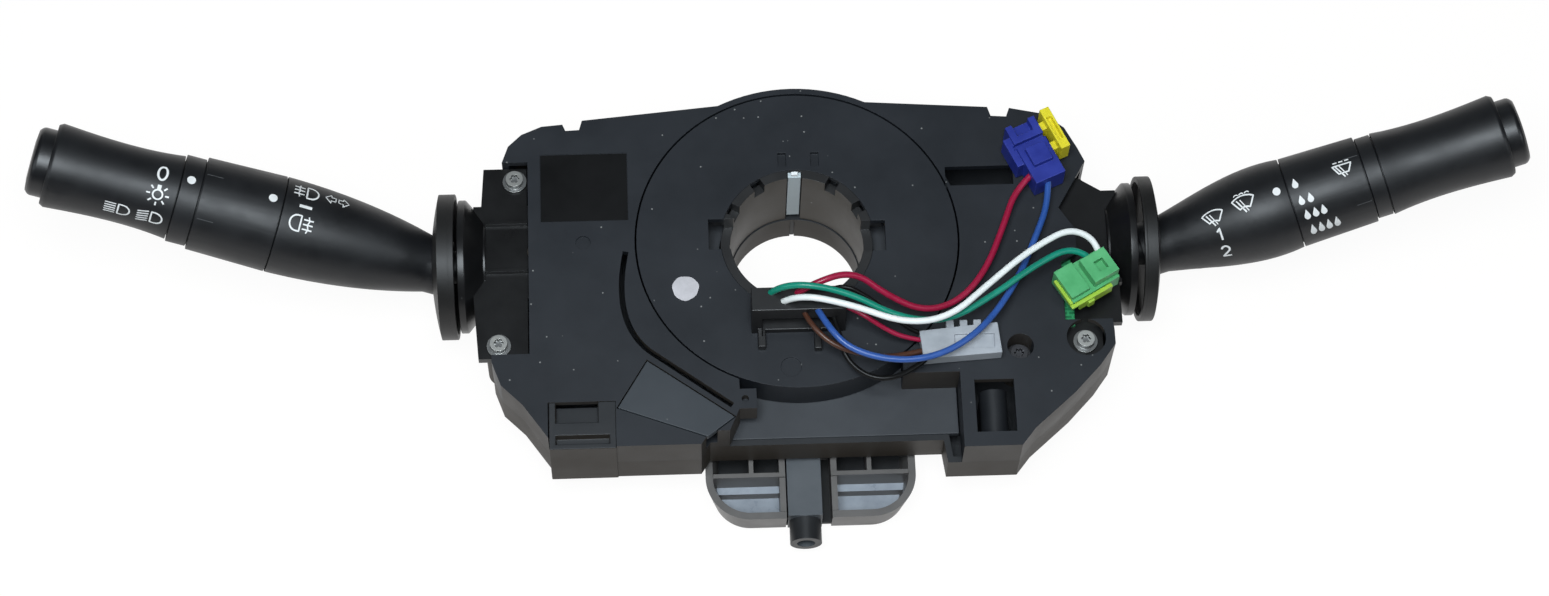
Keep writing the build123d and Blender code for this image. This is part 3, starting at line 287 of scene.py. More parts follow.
SLIT_SHADE_LOW, SLIT_SHADE_HIGH = (-0.0007, 0.0224, 0.0002), (0.0007, 0.0228, 0.0128)
slit_shade_black = moulded_plastic("slit_shade_black", (0.005, 0.005, 0.005), (0.009, 0.009, 0.009), 0.5)
thin_block("slit_shade_sheet", SLIT_SHADE_LOW, SLIT_SHADE_HIGH, 0.0001, slit_shade_black)

# Circuit boards: green solder mask over copper on glass epoxy, cut by a router.
# The main board lies on posts of the tray floor and each module carries a small contact board.
board_green = bpy.data.materials.new("solder_mask")
board_green.use_nodes = True
nodes, links = board_green.node_tree.nodes, board_green.node_tree.links
shader = nodes["Principled BSDF"]
shader.inputs["Roughness"].default_value = 0.3
place = nodes.new("ShaderNodeTexCoord")
tracks = nodes.new("ShaderNodeTexBrick")
tracks.inputs["Scale"].default_value = 180
tracks.inputs["Mortar Size"].default_value = 0.06
tracks.inputs["Color1"].default_value = (0.012, 0.13, 0.05, 1)
tracks.inputs["Color2"].default_value = (0.016, 0.17, 0.065, 1)
tracks.inputs["Mortar"].default_value = (0.03, 0.26, 0.1, 1)
vias = nodes.new("ShaderNodeTexVoronoi")
vias.inputs["Scale"].default_value = 210
via_edge = nodes.new("ShaderNodeMath")
via_edge.operation = "LESS_THAN"
via_edge.inputs[1].default_value = 0.12
pads = nodes.new("ShaderNodeMix")
pads.data_type = "RGBA"
pads.inputs[MIX_B].default_value = (0.55, 0.5, 0.36, 1)
links.new(place.outputs["Object"], tracks.inputs["Vector"])
links.new(place.outputs["Object"], vias.inputs["Vector"])
links.new(vias.outputs["Distance"], via_edge.inputs[0])
links.new(via_edge.outputs["Value"], pads.inputs[0])
links.new(tracks.outputs["Color"], pads.inputs[MIX_A])
links.new(pads.outputs[MIX_OUT], shader.inputs["Base Color"])
for node in ("circuit_board", "left_contact_board", "right_contact_board"):
    finished_node(node, "housing", board_green, 0.00012)

# Ribbon cable and spring base: copper lines laminated in amber film, wound on a black moulded floor.
# The base also makes the open shelf below the rotor.
ribbon_film = moulded_plastic(
    "ribbon_film", (0.34, 0.17, 0.04), (0.46, 0.25, 0.07), 0.28, grain=900, drift=300, dust=0
)
finished_node("ribbon_cable", "housing", ribbon_film, 0.0001)
shelf_black = moulded_plastic("shelf_black", (0.03, 0.033, 0.038), (0.042, 0.046, 0.052), 0.5, dust=0.12)
finished_node("spring_base", "housing", shelf_black)

# Front cover and access flap: charcoal nylon with a fine spark-eroded grain, slightly dusty from handling.
# The cover snaps on the tray and the flap clips into it over the ribbon outlet.
# Its walls along the lower edge are painted lighter and brown as painted light from the floor.
TO_LOWER_EDGE, LOWER_EDGE_Y = -0.4, -0.03
cover_charcoal = moulded_plastic(
    "cover_charcoal", (0.0085, 0.0104, 0.0138), (0.0138, 0.0162, 0.0207), 0.46, drift=28, dust=0.3, shine=0.36
)
cover_lit_side = moulded_plastic("cover_lit_side", (0.034, 0.029, 0.0245), (0.045, 0.039, 0.0335), 0.46, shine=0.22)
cover = finished_node("front_cover", "housing", cover_charcoal)
second_finish(cover, cover_lit_side, lambda face: face.normal.y < TO_LOWER_EDGE and face.center.y < LOWER_EDGE_Y)
flap_grey = moulded_plastic(
    "flap_grey", (0.025, 0.03, 0.036), (0.034, 0.0395, 0.046), 0.46, drift=28, dust=0.14
)
finished_node("access_flap", "housing", flap_grey)

# Blank label: matt black polyester film with a glued back, and no print.
# It is pressed into a shallow recess of the cover.
LABEL_LOW, LABEL_HIGH = (-0.0852, 0.0087, 0.04472), (-0.0562, 0.0334, 0.04492)
label_film = moulded_plastic(
    "label_film", (0.0028, 0.0028, 0.003), (0.005, 0.005, 0.0053), 0.5, 900, 60, 0.14, shine=0.14
)
thin_block("blank_label", LABEL_LOW, LABEL_HIGH, 0.00008, label_film)

# Lower left plug socket and guide barrel: black nylon mouldings that snap into the tray.
# Brass pins are pressed into the socket for the plug of the vehicle harness.
# The socket has the same painted light, with lighter brown walls and darker faces turned up; the guide barrel
# is all in the darker copy.
socket = finished_node("light_socket", "housing", housing_black)
second_finish(socket, shade_copy_black, up_face_in_shade)
finished_node("guide_barrel", "housing", shade_copy_black)
pin_brass = plated_metal("pin_brass", (0.62, 0.47, 0.2), (0.5, 0.36, 0.14), 0.3)
finished_node("socket_pins", "housing", pin_brass, 0.0001)

# Lower cowl bracket and screw post: grey-black nylon, the cups open to the driver.
# The post takes the screw of the lower cowl. The small cells behind the cups are in shade, and their back
# walls and floors are painted near-black as painted shade.
CUP_FLOOR_Z, CELL_FRONT_Y, CELL_BACK_Y, TUBE_Y = 0.012, -0.0725, -0.0635, -0.0872


def is_floor(face):
    return face.normal.z > 0.9 and face.center.z < CUP_FLOOR_Z


def in_shaded_cell(face):
    back_wall = face.normal.y < -0.8 and face.center.y > CELL_BACK_Y
    return back_wall or (is_floor(face) and face.center.y > CELL_FRONT_Y)


bracket_black = moulded_plastic("bracket_black", (0.085, 0.08, 0.0765), (0.122, 0.115, 0.11), 0.4, drift=60)
# The low floors of the cups take a pale blue-grey finish as a painted reflection of the lights.
painted_sheen_floor = moulded_plastic("painted_sheen_floor", (0.2, 0.224, 0.258), (0.32, 0.352, 0.395), 0.3, drift=90, shine=0.5)
# The cells behind the cups take a near-black finish as painted shade.
cell_shade_black = moulded_plastic("cell_shade_black", (0.009, 0.0095, 0.0105), (0.016, 0.0168, 0.018), 0.42)
bracket = finished_node("cowl_bracket", "housing", bracket_black)
second_finish(bracket, painted_sheen_floor, is_floor)
second_finish(bracket, cell_shade_black, in_shaded_cell)
post_grey = moulded_plastic("post_grey", (0.052, 0.06, 0.068), (0.078, 0.086, 0.095), 0.42)
tube_black = moulded_plastic("tube_black", (0.012, 0.0125, 0.0135), (0.021, 0.022, 0.0235), 0.38)
post = finished_node("cowl_post", "housing", post_grey)
second_finish(post, tube_black, lambda face: face.center.y < TUBE_Y)

# Web of the cowl bracket: a thin black nylon floor under the screw post.
# It is moulded with the bracket and joins its two cups.
WEB_LOW, WEB_HIGH = (-0.0075, -0.0850, 0.0004), (0.0105, -0.0622, 0.0020)
web_black = moulded_plastic("web_black", (0.006, 0.006, 0.006), (0.011, 0.011, 0.011), 0.5)
thin_block("bracket_web", WEB_LOW, WEB_HIGH, 0.0003, web_black)

# Switch cases: black acetal boxes pushed into the side bays and held by flanged screws.
# Inside each a carrier swings on trunnions, and the lever turns in it on a steel pin.
case_black = moulded_plastic(
    "case_black", (0.0038, 0.0038, 0.004), (0.0085, 0.0085, 0.0088), 0.3, dust=0.14, shine=0.3
)
for side in ("left", "right"):
    finished_node(side + "_case", "housing", case_black)
    finished_node(side + "_carrier", side + "_carrier", housing_black)
    finished_node(side + "_lever_pin", side + "_lever", zinc, 0.0002)

# Screws: cold headed steel with a flange and a six-lobe recess, bright zinc plated, one blackened.
# Three hold the switch cases on posts of the tray; the dark one holds the cover.
# Painted shade on the screws: the walls of the heads and recesses, and the flange below the head top, take a
# darker zinc.
BELOW_HEAD = 0.0008
zinc_painted_shade = plated_metal("zinc_painted_shade", (0.27, 0.275, 0.275), (0.17, 0.17, 0.165), 0.4)
screws = finished_node("module_screws", "housing", zinc, 0.00012)
flange_z = max(vertex.co.z for vertex in screws.data.vertices) - BELOW_HEAD


def gets_painted_shade(face):
    wall, level = face.normal.z < 0.85, face.normal.z > 0.97
    return wall or (level and face.center.z < flange_z)


second_finish(screws, zinc_painted_shade, gets_painted_shade)
dark_steel = plated_metal("dark_steel", (0.10, 0.10, 0.105), (0.05, 0.05, 0.055), 0.42)
finished_node("cover_screw", "housing", dark_steel, 0.00012)

# Dust shields: slightly domed discs of black acetal with a turned rim.
# They are pushed on the levers in front of the cases.
shield_black = moulded_plastic("shield_black", (0.0055, 0.0055, 0.0055), (0.010, 0.0095, 0.009), 0.46)
for side in ("left", "right"):
    finished_node(side + "_shield", side + "_lever", shield_black)

# Guards: black funnels snapped on the noses of the cases, with a skirt on the rim of each shield.
# They keep the gap small while the shield still clears the guard at the ends of its swing.


PIVOT_Z = 0.0295


def turned_piece(name, outline, finish, body):
    """A closed outline in millimetres, along X and out from it, turned about the line of the stalk pivots."""
    mesh = bpy.data.meshes.new(name)
    count = len(outline)
    ring = [(k, (k + 1) % count) for k in range(count)]
    mesh.from_pydata([(x / 1000, 0, r / 1000) for x, r in outline], ring, [])
    piece = bpy.data.objects.new(name, mesh)
    bpy.context.collection.objects.link(piece)
    select_only(piece)
    turn = piece.modifiers.new("turn", "SCREW")
    turn.axis = "X"
    turn.steps = turn.render_steps = 72
    turn.use_merge_vertices = True
    bpy.ops.object.modifier_apply(modifier="turn")
    bpy.ops.object.mode_set(mode="EDIT")
    bpy.ops.mesh.select_all(action="SELECT")
    bpy.ops.mesh.remove_doubles(threshold=MERGE)
    bpy.ops.mesh.normals_make_consistent(inside=False)
    bpy.ops.object.mode_set(mode="OBJECT")
    piece.location.z = PIVOT_Z
    bpy.ops.object.transform_apply(location=True, rotation=True, scale=True)
    softened(piece, 0.0003)
    piece.data.materials.append(finish)
    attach(piece, body)


GUARD = (
    (104.5, 15.2), (106.5, 17.5), (110.6, 22.4), (113.0, 22.4), (113.0, 20.6), (111.4, 20.6), (107.6, 15.2),
)
SKIRT_IN_R, SKIRT_OUT_R, SKIRT_RIM_X = 22.6, 24.5, 116.2
for side, sign, skirt_x in (("left", -1, 114.0), ("right", 1, 115.0)):
    skirt = (
        (skirt_x, SKIRT_IN_R), (skirt_x, SKIRT_OUT_R), (SKIRT_RIM_X, SKIRT_OUT_R), (SKIRT_RIM_X, SKIRT_IN_R),
    )
    turned_piece(side + "_guard", [(sign * x, r) for x, r in GUARD], case_black, "housing")
    turned_piece(side + "_skirt", [(sign * x, r) for x, r in skirt], shield_black, side + "_lever")

# Stalks: glass-filled nylon with a soft satin grain, turned ring, index collar, turning head and end button.
# The turning pieces run on the core tube of the lever and are held by snap beads.
stalk_black = moulded_plastic(
    "stalk_black", (0.0042, 0.0046, 0.0056), (0.0068, 0.0074, 0.0088), 0.45, 3400, 60, 0.04, 0.35, 0.09, 0.45
)
button_black = moulded_plastic(
    "button_black", (0.0042, 0.0046, 0.0056), (0.008, 0.0084, 0.0096), 0.38, 3400, 60, 0.04, 0.2, 0.09, 0.45
)
stalk = {}
for side in ("left", "right"):
    for node, body in (("lever", "lever"), ("index_collar", "lever"), ("ring", "ring"), ("head", "head")):
        piece = finished_node(side + "_" + node, side + "_" + body, stalk_black, 0.0002)
        stalk[side + "_" + node] = piece
    button = finished_node(side + "_button", side + "_button", button_black, 0.0008)

# Printed marks of the stalks: white pad print on the lever, ring, collar and head, standard signs only.
# Shapes are in millimetres, right and up as the driver sees them; places are along and around the stalk axis.
mark_white = moulded_plastic("mark_white", (0.78, 0.78, 0.77), (0.66, 0.66, 0.65), 0.45, 2600, 200, 0.0, 0.1)
line_grey = moulded_plastic("line_grey", (0.06, 0.062, 0.065), (0.09, 0.092, 0.095), 0.4, 2600, 200, 0.0, 0.1)
FACING = Vector((0, -0.4055, 0.914))
STALK_YAW, STALK_PITCH, STALK_X = math.radians(11.4), math.radians(15), 0.1195
INK_STEP, INK_START, INK = 0.45, 0.3, 0.00006


def rows(points, width, closed=False):
    """A stroke of even width along a line of points, as rows of a strip."""
    line = [Vector(p) for p in points]
    if closed:
        line.append(line[0])
    dense = [line[0]]
    for a, b in zip(line, line[1:]):
        steps = max(1, math.ceil((b - a).length / INK_STEP))
        dense += [a.lerp(b, k / steps) for k in range(1, steps + 1)]
    strip = []
    for k, here in enumerate(dense):
        before = dense[k - 1] if k else (dense[-2] if closed else here)
        after = dense[k + 1] if k + 1 < len(dense) else (dense[1] if closed else here)
        run = (after - before).normalized()
        side = Vector((-run.y, run.x)) * width / 2
        strip.append([here - side, here, here + side])
    return strip


def arc(cx, cy, rx, ry, start, end, count=20):
    """Points along a round or oval bow, between two angles in degrees."""
    turn = [math.radians(start + (end - start) * k / count) for k in range(count + 1)]
    return [(cx + rx * math.cos(a), cy + ry * math.sin(a)) for a in turn]


def spot(cx, cy, radius, tip=0.0):
    """A filled disc, or a drop with its tip upwards, as rows from the middle to the edge."""
    edge = arc(cx, cy, radius, radius, 0, 360, 24)
    if tip:
        edge = [(cx, cy + tip)] + arc(cx, cy, radius, radius, 153, 387) + [(cx, cy + tip)]
    middle = Vector((cx, cy))
    return [[middle, middle.lerp(Vector(p), 0.5), Vector(p)] for p in edge]


def printed_marks(name, side, host, body, radius, marks, finish):
    """Signs at stations along the stalk and angles around it, laid on the surface of their host."""
    sign = -1 if side == "left" else 1
    flat = math.cos(STALK_PITCH)
    axis = Vector((sign * flat * math.cos(STALK_YAW), flat * math.sin(STALK_YAW), math.sin(STALK_PITCH)))
    front = (FACING - FACING.dot(axis) * axis).normalized()
    up = axis.cross(front) * -sign
    start = Vector((sign * STALK_X, 0, PIVOT_Z))
    verts, faces = [], []
    for station, angle, shapes in marks:
        for strip in shapes:
            first = len(verts)
            for row in strip:
                for p in row:
                    along = (station + sign * p.x) / 1000
                    a = math.radians(angle) + p.y / radius
                    out = (front * math.cos(a) + up * math.sin(a)) * (radius + INK_START) / 1000
                    verts.append(start + axis * along + out)
            for k in range(len(strip) - 1):
                for j in (0, 1):
                    q = first + 3 * k + j
                    faces.append((q, q + 1, q + 4, q + 3))
    mesh = bpy.data.meshes.new(name)
    mesh.from_pydata([tuple(v) for v in verts], [], faces)
    piece = bpy.data.objects.new(name, mesh)
    bpy.context.collection.objects.link(piece)
    select_only(piece)
    wrap = piece.modifiers.new("wrap", "SHRINKWRAP")
    wrap.target = host
    wrap.wrap_method = "NEAREST_SURFACEPOINT"
    wrap.wrap_mode = "ABOVE_SURFACE"
    wrap.offset = INK
    bpy.ops.object.modifier_apply(modifier="wrap")
    bpy.ops.object.mode_set(mode="EDIT")
    bpy.ops.mesh.select_all(action="SELECT")
    bpy.ops.mesh.remove_doubles(threshold=0.000001)
    bpy.ops.mesh.normals_make_consistent(inside=False)
    bpy.ops.object.mode_set(mode="OBJECT")
    piece.data.materials.append(finish)
    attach(piece, body)


LINE, FINE_LINE, BLADE_LINE = 0.55, 0.45, 0.5
lamp_right = [(0.2, -2.1), (0.2, 2.1), (1.4, 2.1)] + arc(1.4, 0, 2.6, 2.1, 90, -90, 14)
rays = [rows([(-4.4, y), (-0.7, y)], FINE_LINE) for y in (-2.0, -1.0, 0, 1.0, 2.0)]
sloped = [rows([(-4.4, y - 0.9), (-0.7, y)], FINE_LINE) for y in (-2.0, -1.0, 0, 1.0, 2.0)]
high_beam = [rows(lamp_right, LINE, True)] + rays
low_beam = [rows(lamp_right, LINE, True)] + sloped
sun = [rows(arc(0, 0, 1.6, 1.6, 0, 345, 23), LINE, True), rows([(0, 1.7), (0, 3.3)], 1.3)]
for k in range(7):
    a = math.radians(45 * k + 135)
    ray = [(2.5 * math.cos(a), 2.5 * math.sin(a)), (3.8 * math.cos(a), 3.8 * math.sin(a))]
    sun.append(rows(ray, LINE))
zero = [rows(arc(0, 0, 1.5, 2.5, 0, 345, 23), 0.75, True)]
wave = [(-2.2, 2.2), (-2.7, 1.1), (-2.2, 0), (-2.7, -1.1), (-2.2, -2.2)]
fog_rays = [rows([(-4.2, y), (-0.7, y)], FINE_LINE) for y in (-1.3, 0, 1.3)]
front_fog = [rows(lamp_right, LINE, True), rows(wave, FINE_LINE)] + fog_rays
lamp_tall = [(-x * 0.95, y * 1.25) for x, y in lamp_right]
rear_wave = [(-x, y * 1.25) for x, y in wave]
rear_rays = [rows([(0.7, y), (4.0, y)], 0.5) for y in (-1.6, 0, 1.6)]
rear_fog = [rows(lamp_tall, LINE, True), rows(rear_wave, FINE_LINE)] + rear_rays
dash = [rows([(-2.1, 0), (2.1, 0)], 1.1)]
half_arrow = [(0.5, -0.7), (0.5, 0.7), (2.1, 0.7), (2.1, 1.7), (4.1, 0), (2.1, -1.7), (2.1, -0.7)]
arrows = [rows(half_arrow, 0.35, True), rows([(-x, y) for x, y in half_arrow], 0.35, True)]


def stretched(shapes, share):
    """A sign drawn taller, for places where the stalk curves away from the driver."""
    return [[[Vector((p.x, p.y * share)) for p in row] for row in strip] for strip in shapes]


printed_marks("left_head_marks", "left", stalk["left_head"], "left_head", 13.9, [
    (97.3, 29.6, zero), (97.3, -1.9, sun), (108.6, -39.8, high_beam), (97.8, -37.2, low_beam),
], mark_white)
printed_marks("left_collar_mark", "left", stalk["left_index_collar"], "left_lever", 14.8, [
    (87.8, 28.0, [spot(0, 0, 1.45)]),
], mark_white)
printed_marks("left_ring_mark", "left", stalk["left_ring"], "left_ring", 16.2, [
    (60.7, 30.2, [spot(0, 0, 1.45)]),
], mark_white)
printed_marks("left_lever_marks", "left", stalk["left_lever"], "left_lever", 16.0, [
    (50.2, 52.5, stretched(front_fog, 1.3)), (49.6, 29.7, dash), (49.9, 8.3, rear_fog),
    (39.7, 54.3, stretched(arrows, 1.3)),
], mark_white)
screen = arc(0, -4.6, 7.0, 7.0, 57, 123, 12) + arc(0, -4.6, 3.2, 3.2, 123, 57, 8)
blade = [rows([(0.1, -3.2), (-2.2, 1.2)], BLADE_LINE), rows([(1.0, -2.9), (-1.0, 1.2)], 0.35)]
wipe = [rows(screen, BLADE_LINE, True)] + blade
spray = [rows(arc(x, 2.6, 0.8, 0.7, 20, 160, 6), 0.4) for x in (-1.9, 0, 1.9)]
wash = wipe + spray
digit_one = [rows([(-0.9, 1.0), (0.2, 2.1), (0.2, -2.1)], 0.7)]
bow = arc(0, 0.9, 1.35, 1.25, 165, -35, 12)
digit_two = [rows(bow + [(-1.4, -2.1), (1.5, -2.1)], 0.7)]
pane = [(-1.7, -1.7), (-3.2, 1.3), (3.2, 1.3), (1.7, -1.7)]
rear_spray = [rows([(x - 0.7, 2.5), (x + 0.7, 2.5)], FINE_LINE) for x in (-2, 0, 2)]
rear_wipe = [rows(pane, BLADE_LINE, True)] + blade + rear_spray
drop = [spot(0, -0.4, 1.05, 2.3)]
printed_marks("right_lever_marks", "right", stalk["right_lever"], "right_lever", 14.6, [
    (23.6, 15.9, wipe), (24.3, -9.9, digit_one), (24.4, -36.8, digit_two), (35.0, 20.1, wash),
    (46.3, 20.5, [spot(0, 0, 1.3)]),
], mark_white)
drops = []
for angle, stations in (
    (23.1, (52.9,)),
    (0.4, (53.3, 56.4)),
    (-19.3, (53.7, 56.6, 59.4)),
    (-43.3, (54.2, 57.0, 59.7, 62.5)),
):
    tall = stretched(drop, 1 / math.cos(math.radians(angle)))
    drops += [(station, angle, tall) for station in stations]
printed_marks("right_ring_marks", "right", stalk["right_ring"], "right_ring", 15.2, [
    *drops, (69.4, 24.6, rear_wipe),
], mark_white)
index_line = [rows([(-2.7, 0), (2.7, 0)], 0.22)]
printed_marks("left_index_lines", "left", stalk["left_ring"], "left_ring", 15.0, [
    (80.6, 40.1, index_line), (80.3, -17.4, index_line),
], line_grey)
printed_marks("right_index_lines", "right", stalk["right_ring"], "right_ring", 14.0, [
    (73.0, 35.9, index_line), (73.0, -28.3, index_line),
], line_grey)

# Rotor: charcoal disc with a skirt and a black hub sleeve snapped into it, turning with the wheel.
# A grey lock key slides in a groove of the sleeve. The upright walls of the bore of the sleeve take a lighter
# brown finish.
BORE_R, KEY_TIP_Z = 0.0236, 0.04515
finished_node("rotor_disc", "rotor", cover_charcoal, 0.0006)
hub_black = moulded_plastic("hub_black", (0.0065, 0.0065, 0.007), (0.012, 0.012, 0.0125), 0.36, shine=0.5)
hub_brown = moulded_plastic("hub_brown", (0.032, 0.025, 0.017), (0.047, 0.037, 0.025), 0.5)
hub = finished_node("rotor_hub", "rotor", hub_black)
second_finish(hub, hub_brown, lambda face: abs(face.normal.z) < 0.5 and face.center.xy.length < BORE_R)
key_grey = moulded_plastic("key_grey", (0.42, 0.48, 0.5), (0.52, 0.58, 0.6), 0.4)
# The top of the key takes a whiter finish, partly a pale tip and partly a painted highlight.
key_tip_highlight = moulded_plastic("key_tip_highlight", (0.74, 0.76, 0.76), (0.84, 0.85, 0.85), 0.35)
key = finished_node("lock_key", "lock_key", key_grey, 0.0002)
second_finish(key, key_tip_highlight, lambda face: face.center.z > KEY_TIP_Z)

# Paint dot on the rotor: a dab of white marking paint.
# It is put on by hand at the end of the line, so its edge isn't quite round.
DOT_AT, DOT_R, DOT_T = (-0.0377, -0.0170, 0.04507), 0.0044, 0.0001
paint_white = moulded_plastic("paint_white", (0.56, 0.54, 0.56), (0.4, 0.385, 0.4), 0.55, 1500, 160, 0.0, 0.5)
bpy.ops.mesh.primitive_cylinder_add(vertices=40, radius=DOT_R, depth=DOT_T)
paint = bpy.context.object
paint.name = "paint_dot"
for v in paint.data.vertices:
    a = math.atan2(v.co.y, v.co.x)
    v.co.xy *= 1 + 0.03 * math.sin(3 * a + 0.4) + 0.02 * math.sin(7 * a)
paint.location = DOT_AT
bpy.ops.object.transform_apply(location=True, rotation=True, scale=True)
softened(paint, 0.00004)
paint.data.materials.append(paint_white)
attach(paint, "rotor")

# Harness socket and plugs: small nylon connectors, each moulded in its own colour.
# The socket is part of the rotor; the plugs hang on the wires that go on into the wheel.
finished_node("harness_socket", "rotor", hub_black)
for node, base, worn, slot in (
    ("blue_plug", (0.012, 0.022, 0.20), (0.02, 0.035, 0.27), "plug_blue"),
    ("yellow_clip", (0.64, 0.55, 0.012), (0.76, 0.66, 0.03), "clip_yellow"),
    ("green_plug", (0.06, 0.32, 0.115), (0.10, 0.42, 0.17), "plug_green"),
    ("green_plug_lock", (0.27, 0.46, 0.03), (0.36, 0.55, 0.06), "lock_lime"),
    ("grey_plug", (0.30, 0.32, 0.345), (0.40, 0.42, 0.45), "plug_grey"),
):
    finish = moulded_plastic(node + "_plastic", base, worn, 0.36, 2600, 120, 0.05, 0.15)
    finished_node(node, "rotor", finish, 0.00025)

# Wires: stranded copper in thin smooth PVC, crimped into the harness socket and the plugs.
# Control points are in millimetres, with the diameter and the length along the route.


def insulation(name, base, streak, shine=0.4):
    return moulded_plastic(name, base, streak, 0.3, 1800, 90, 0.02, 0.08, shine=shine)


wire_finish = {
    "green": insulation("wire_teal", (0.003, 0.19, 0.125), (0.006, 0.25, 0.165)),
    "white": insulation("wire_white", (0.74, 0.77, 0.75), (0.84, 0.86, 0.84)),
    "red": insulation("wire_crimson", (0.26, 0.005, 0.03), (0.34, 0.01, 0.05)),
    "blue": insulation("wire_blue", (0.022, 0.075, 0.28), (0.034, 0.1, 0.35)),
    "brown": insulation("wire_brown", (0.055, 0.02, 0.011), (0.08, 0.032, 0.018)),
    "black": insulation("wire_black", (0.004, 0.004, 0.004), (0.008, 0.008, 0.008), 0.15),
}
WIRES = {
    "wire_green": ("green", 2.2, 128.9, "green_plug", [
        (-11, -25, 55.5), (-6, -25, 66), (14, -27.5, 63.5), (32, -36, 58.5), (48, -36.5, 56.8),
        (63, -27.5, 56.4), (74.5, -19.2, 56.3), (82.5, -14.3, 56.2), (88, -11.7, 55.9),
        (93.3, -11.9, 54.4), (97.5, -14.7, 52.1), (99.2, -18.8, 49.9),
    ]),
    "wire_white": ("white", 2.2, 128.7, "green_plug", [
        (-7, -28, 55.5), (-2, -29, 65), (15.5, -32, 62.5), (33, -39, 61.5), (48, -37, 61),
        (61.5, -25, 60), (72.5, -15.5, 59.4), (81, -9.8, 59), (88.2, -6, 58.8),
        (94.1, -6.2, 57), (98.6, -9, 54.2), (100.1, -13.6, 51.5),
    ]),
    "wire_red": ("red", 2.2, 117.6, "blue_plug", [
        (-3, -25.5, 55.5), (3, -24.8, 63), (17, -19.5, 61.5), (28, -25.5, 54.5), (40.5, -30.5, 51),
        (53, -26.5, 50.5), (62.5, -14.5, 50.5), (69, 1.5, 50.5), (73.5, 13.5, 51), (80.5, 19.5, 52),
    ]),
    "wire_blue": ("blue", 2.2, 131.4, "blue_plug", [
        (4.5, -29, 55.5), (7.5, -38, 60.5), (15, -46.5, 58.5), (30.5, -50.5, 57), (45.5, -48.5, 57),
        (59.5, -38.5, 55), (71.5, -21, 51.5), (80, -2, 50.5), (84, 8.5, 50.8), (84.6, 17.5, 51),
    ]),
    "wire_brown": ("brown", 1.8, 50.0, "grey_plug", [
        (0, -29, 54.5), (2.5, -37, 57.5), (11, -44.5, 55.5), (24, -46.5, 52), (32.5, -45.3, 49.7),
        (40, -43, 48.2),
    ]),
    "wire_red_thin": ("red", 1.6, 34.0, "grey_plug", [
        (11, -28, 55), (17.5, -32, 58), (27, -37.5, 54), (33.5, -39.3, 50.5), (40, -39.5, 48.2),
    ]),
    "wire_black_short": ("black", 1.6, 40.2, "grey_plug", [
        (7.5, -25, 55), (12.5, -23, 60), (22.5, -27.5, 57), (31.5, -34, 52.5), (36.5, -36.7, 49.6),
        (40.5, -37.2, 48.2),
    ]),
    "wire_black_loop": ("black", 1.8, 49.9, "grey_plug", [
        (9.5, -28, 52), (12, -38, 53.5), (14, -47, 50.5), (22.5, -53.5, 49.5), (33, -52.5, 49.5),
        (40.5, -46, 48.2),
    ]),
}
for node, (finish, thick, length, plug, points) in WIRES.items():
    data = bpy.data.curves.new(node + "_line", "CURVE")
    data.dimensions = "3D"
    data.resolution_u = 10
    data.bevel_depth = thick / 2000
    data.bevel_resolution = 4
    data.use_fill_caps = True
    line = data.splines.new("NURBS")
    line.points.add(len(points) - 1)
    for point, at in zip(line.points, points):
        point.co = (at[0] / 1000, at[1] / 1000, at[2] / 1000, 1)
    line.order_u = 3
    line.use_endpoint_u = True
    wire = bpy.data.objects.new(node + "_cord", data)
    bpy.context.collection.objects.link(wire)
    data.materials.append(wire_finish[finish])
    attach(wire, "rotor")
    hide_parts(node)

# Floor, light and camera: a plain sheet of paper under soft boxes, seen from above the lower edge.
# The eye and mirrors see the sheet white, with a faint shadow; it throws only a dim warm light on the part.
GLOW, GLOW_SHARE = 0.94, 0.75
FLOOR_SIZE, FLOOR_Z = 4, -0.0004
floor_sheet = bpy.data.materials.new("floor_sheet")
floor_sheet.use_nodes = True
nodes, links = floor_sheet.node_tree.nodes, floor_sheet.node_tree.links
paper = nodes["Principled BSDF"]
paper.inputs["Base Color"].default_value = (0.26, 0.235, 0.215, 1)
paper.inputs["Roughness"].default_value = 0.9
plain = nodes.new("ShaderNodeEmission")
plain.inputs["Strength"].default_value = GLOW / GLOW_SHARE
ray = nodes.new("ShaderNodeLightPath")
pick = nodes.new("ShaderNodeMixShader")
mirrored, seen, share = [nodes.new("ShaderNodeMath") for k in range(3)]
seen.use_clamp = True
share.operation = "MULTIPLY"
share.inputs[1].default_value = GLOW_SHARE
links.new(ray.outputs["Is Glossy Ray"], mirrored.inputs[0])
links.new(ray.outputs["Is Transmission Ray"], mirrored.inputs[1])
links.new(ray.outputs["Is Camera Ray"], seen.inputs[0])
links.new(mirrored.outputs["Value"], seen.inputs[1])
links.new(seen.outputs["Value"], share.inputs[0])
links.new(share.outputs["Value"], pick.inputs[0])
links.new(paper.outputs[0], pick.inputs[1])
links.new(plain.outputs[0], pick.inputs[2])
links.new(pick.outputs[0], nodes["Material Output"].inputs["Surface"])
bpy.ops.mesh.primitive_plane_add(size=FLOOR_SIZE, location=(0, 0, FLOOR_Z))
floor = bpy.context.object
floor.name = "floor"
floor.data.materials.append(floor_sheet)

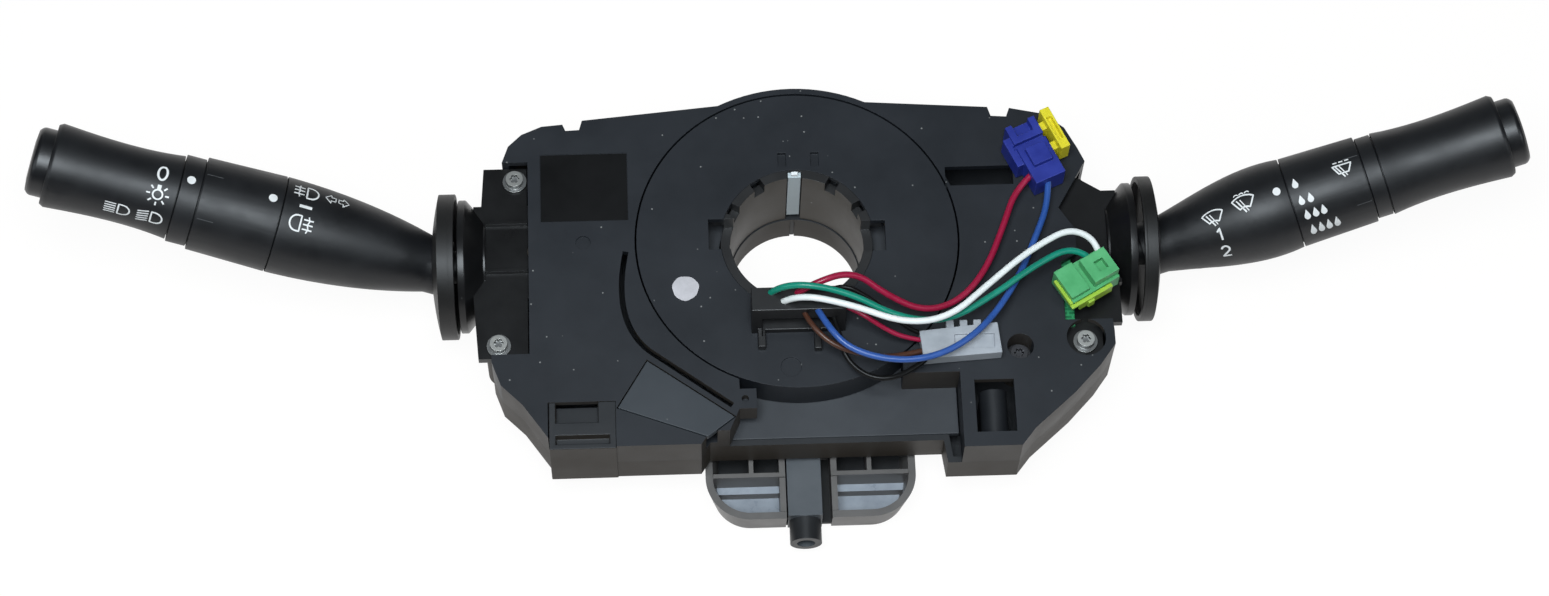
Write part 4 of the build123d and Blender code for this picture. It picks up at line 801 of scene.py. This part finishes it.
world = bpy.data.worlds.new("studio")
bpy.context.scene.world = world
world.use_nodes = True
room = world.node_tree.nodes["Background"]
room.inputs["Color"].default_value = (1, 1, 1, 1)
room.inputs["Strength"].default_value = 0.05
COOL_WHITE = (0.86, 0.94, 1.0)
for name, at, size, power in (
    ("key_box", (-0.1, -0.34, 1.12), 0.5, 14),
    ("right_box", (1.0, -0.5, 0.9), 0.5, 3),
    ("left_box", (-1.0, -0.3, 0.8), 0.5, 2.5),
    ("back_box", (0.12, 0.3, 1.2), 0.5, 0.6),
    ("rear_box", (-0.2, 1.3, 0.55), 0.7, 0.6),
):
    data = bpy.data.lights.new(name, "AREA")
    data.size = size
    data.energy = power
    data.color = COOL_WHITE
    lamp = bpy.data.objects.new(name, data)
    lamp.location = at
    lamp.rotation_euler = (-Vector(at)).to_track_quat("-Z", "Y").to_euler()
    bpy.context.collection.objects.link(lamp)

AZIMUTH, ELEVATION, ROLL = math.radians(-4.5), math.radians(66), math.radians(2.55)
DISTANCE, LENS, SENSOR = 1.2, 83.67, 36
PAN_LEFT, PAN_DOWN = 0.00755, 0.01975
target = Vector((0, 0, 0.045))
back = Vector((
    math.sin(AZIMUTH) * math.cos(ELEVATION), -math.cos(AZIMUTH) * math.cos(ELEVATION), math.sin(ELEVATION)
))
across = Vector((math.cos(AZIMUTH), math.sin(AZIMUTH), 0))
upright = back.cross(across)
right = across * math.cos(ROLL) + upright * math.sin(ROLL)
top = upright * math.cos(ROLL) - across * math.sin(ROLL)
eye = target + back * DISTANCE - right * PAN_LEFT - top * PAN_DOWN
data = bpy.data.cameras.new("camera")
data.lens = LENS
data.sensor_width = SENSOR
camera = bpy.data.objects.new("camera", data)
bpy.context.collection.objects.link(camera)
camera.matrix_world = Matrix((
    (right.x, top.x, back.x, eye.x),
    (right.y, top.y, back.y, eye.y),
    (right.z, top.z, back.z, eye.z),
    (0, 0, 0, 1),
))
bpy.context.scene.camera = camera
bpy.context.scene.view_settings.view_transform = "Standard"
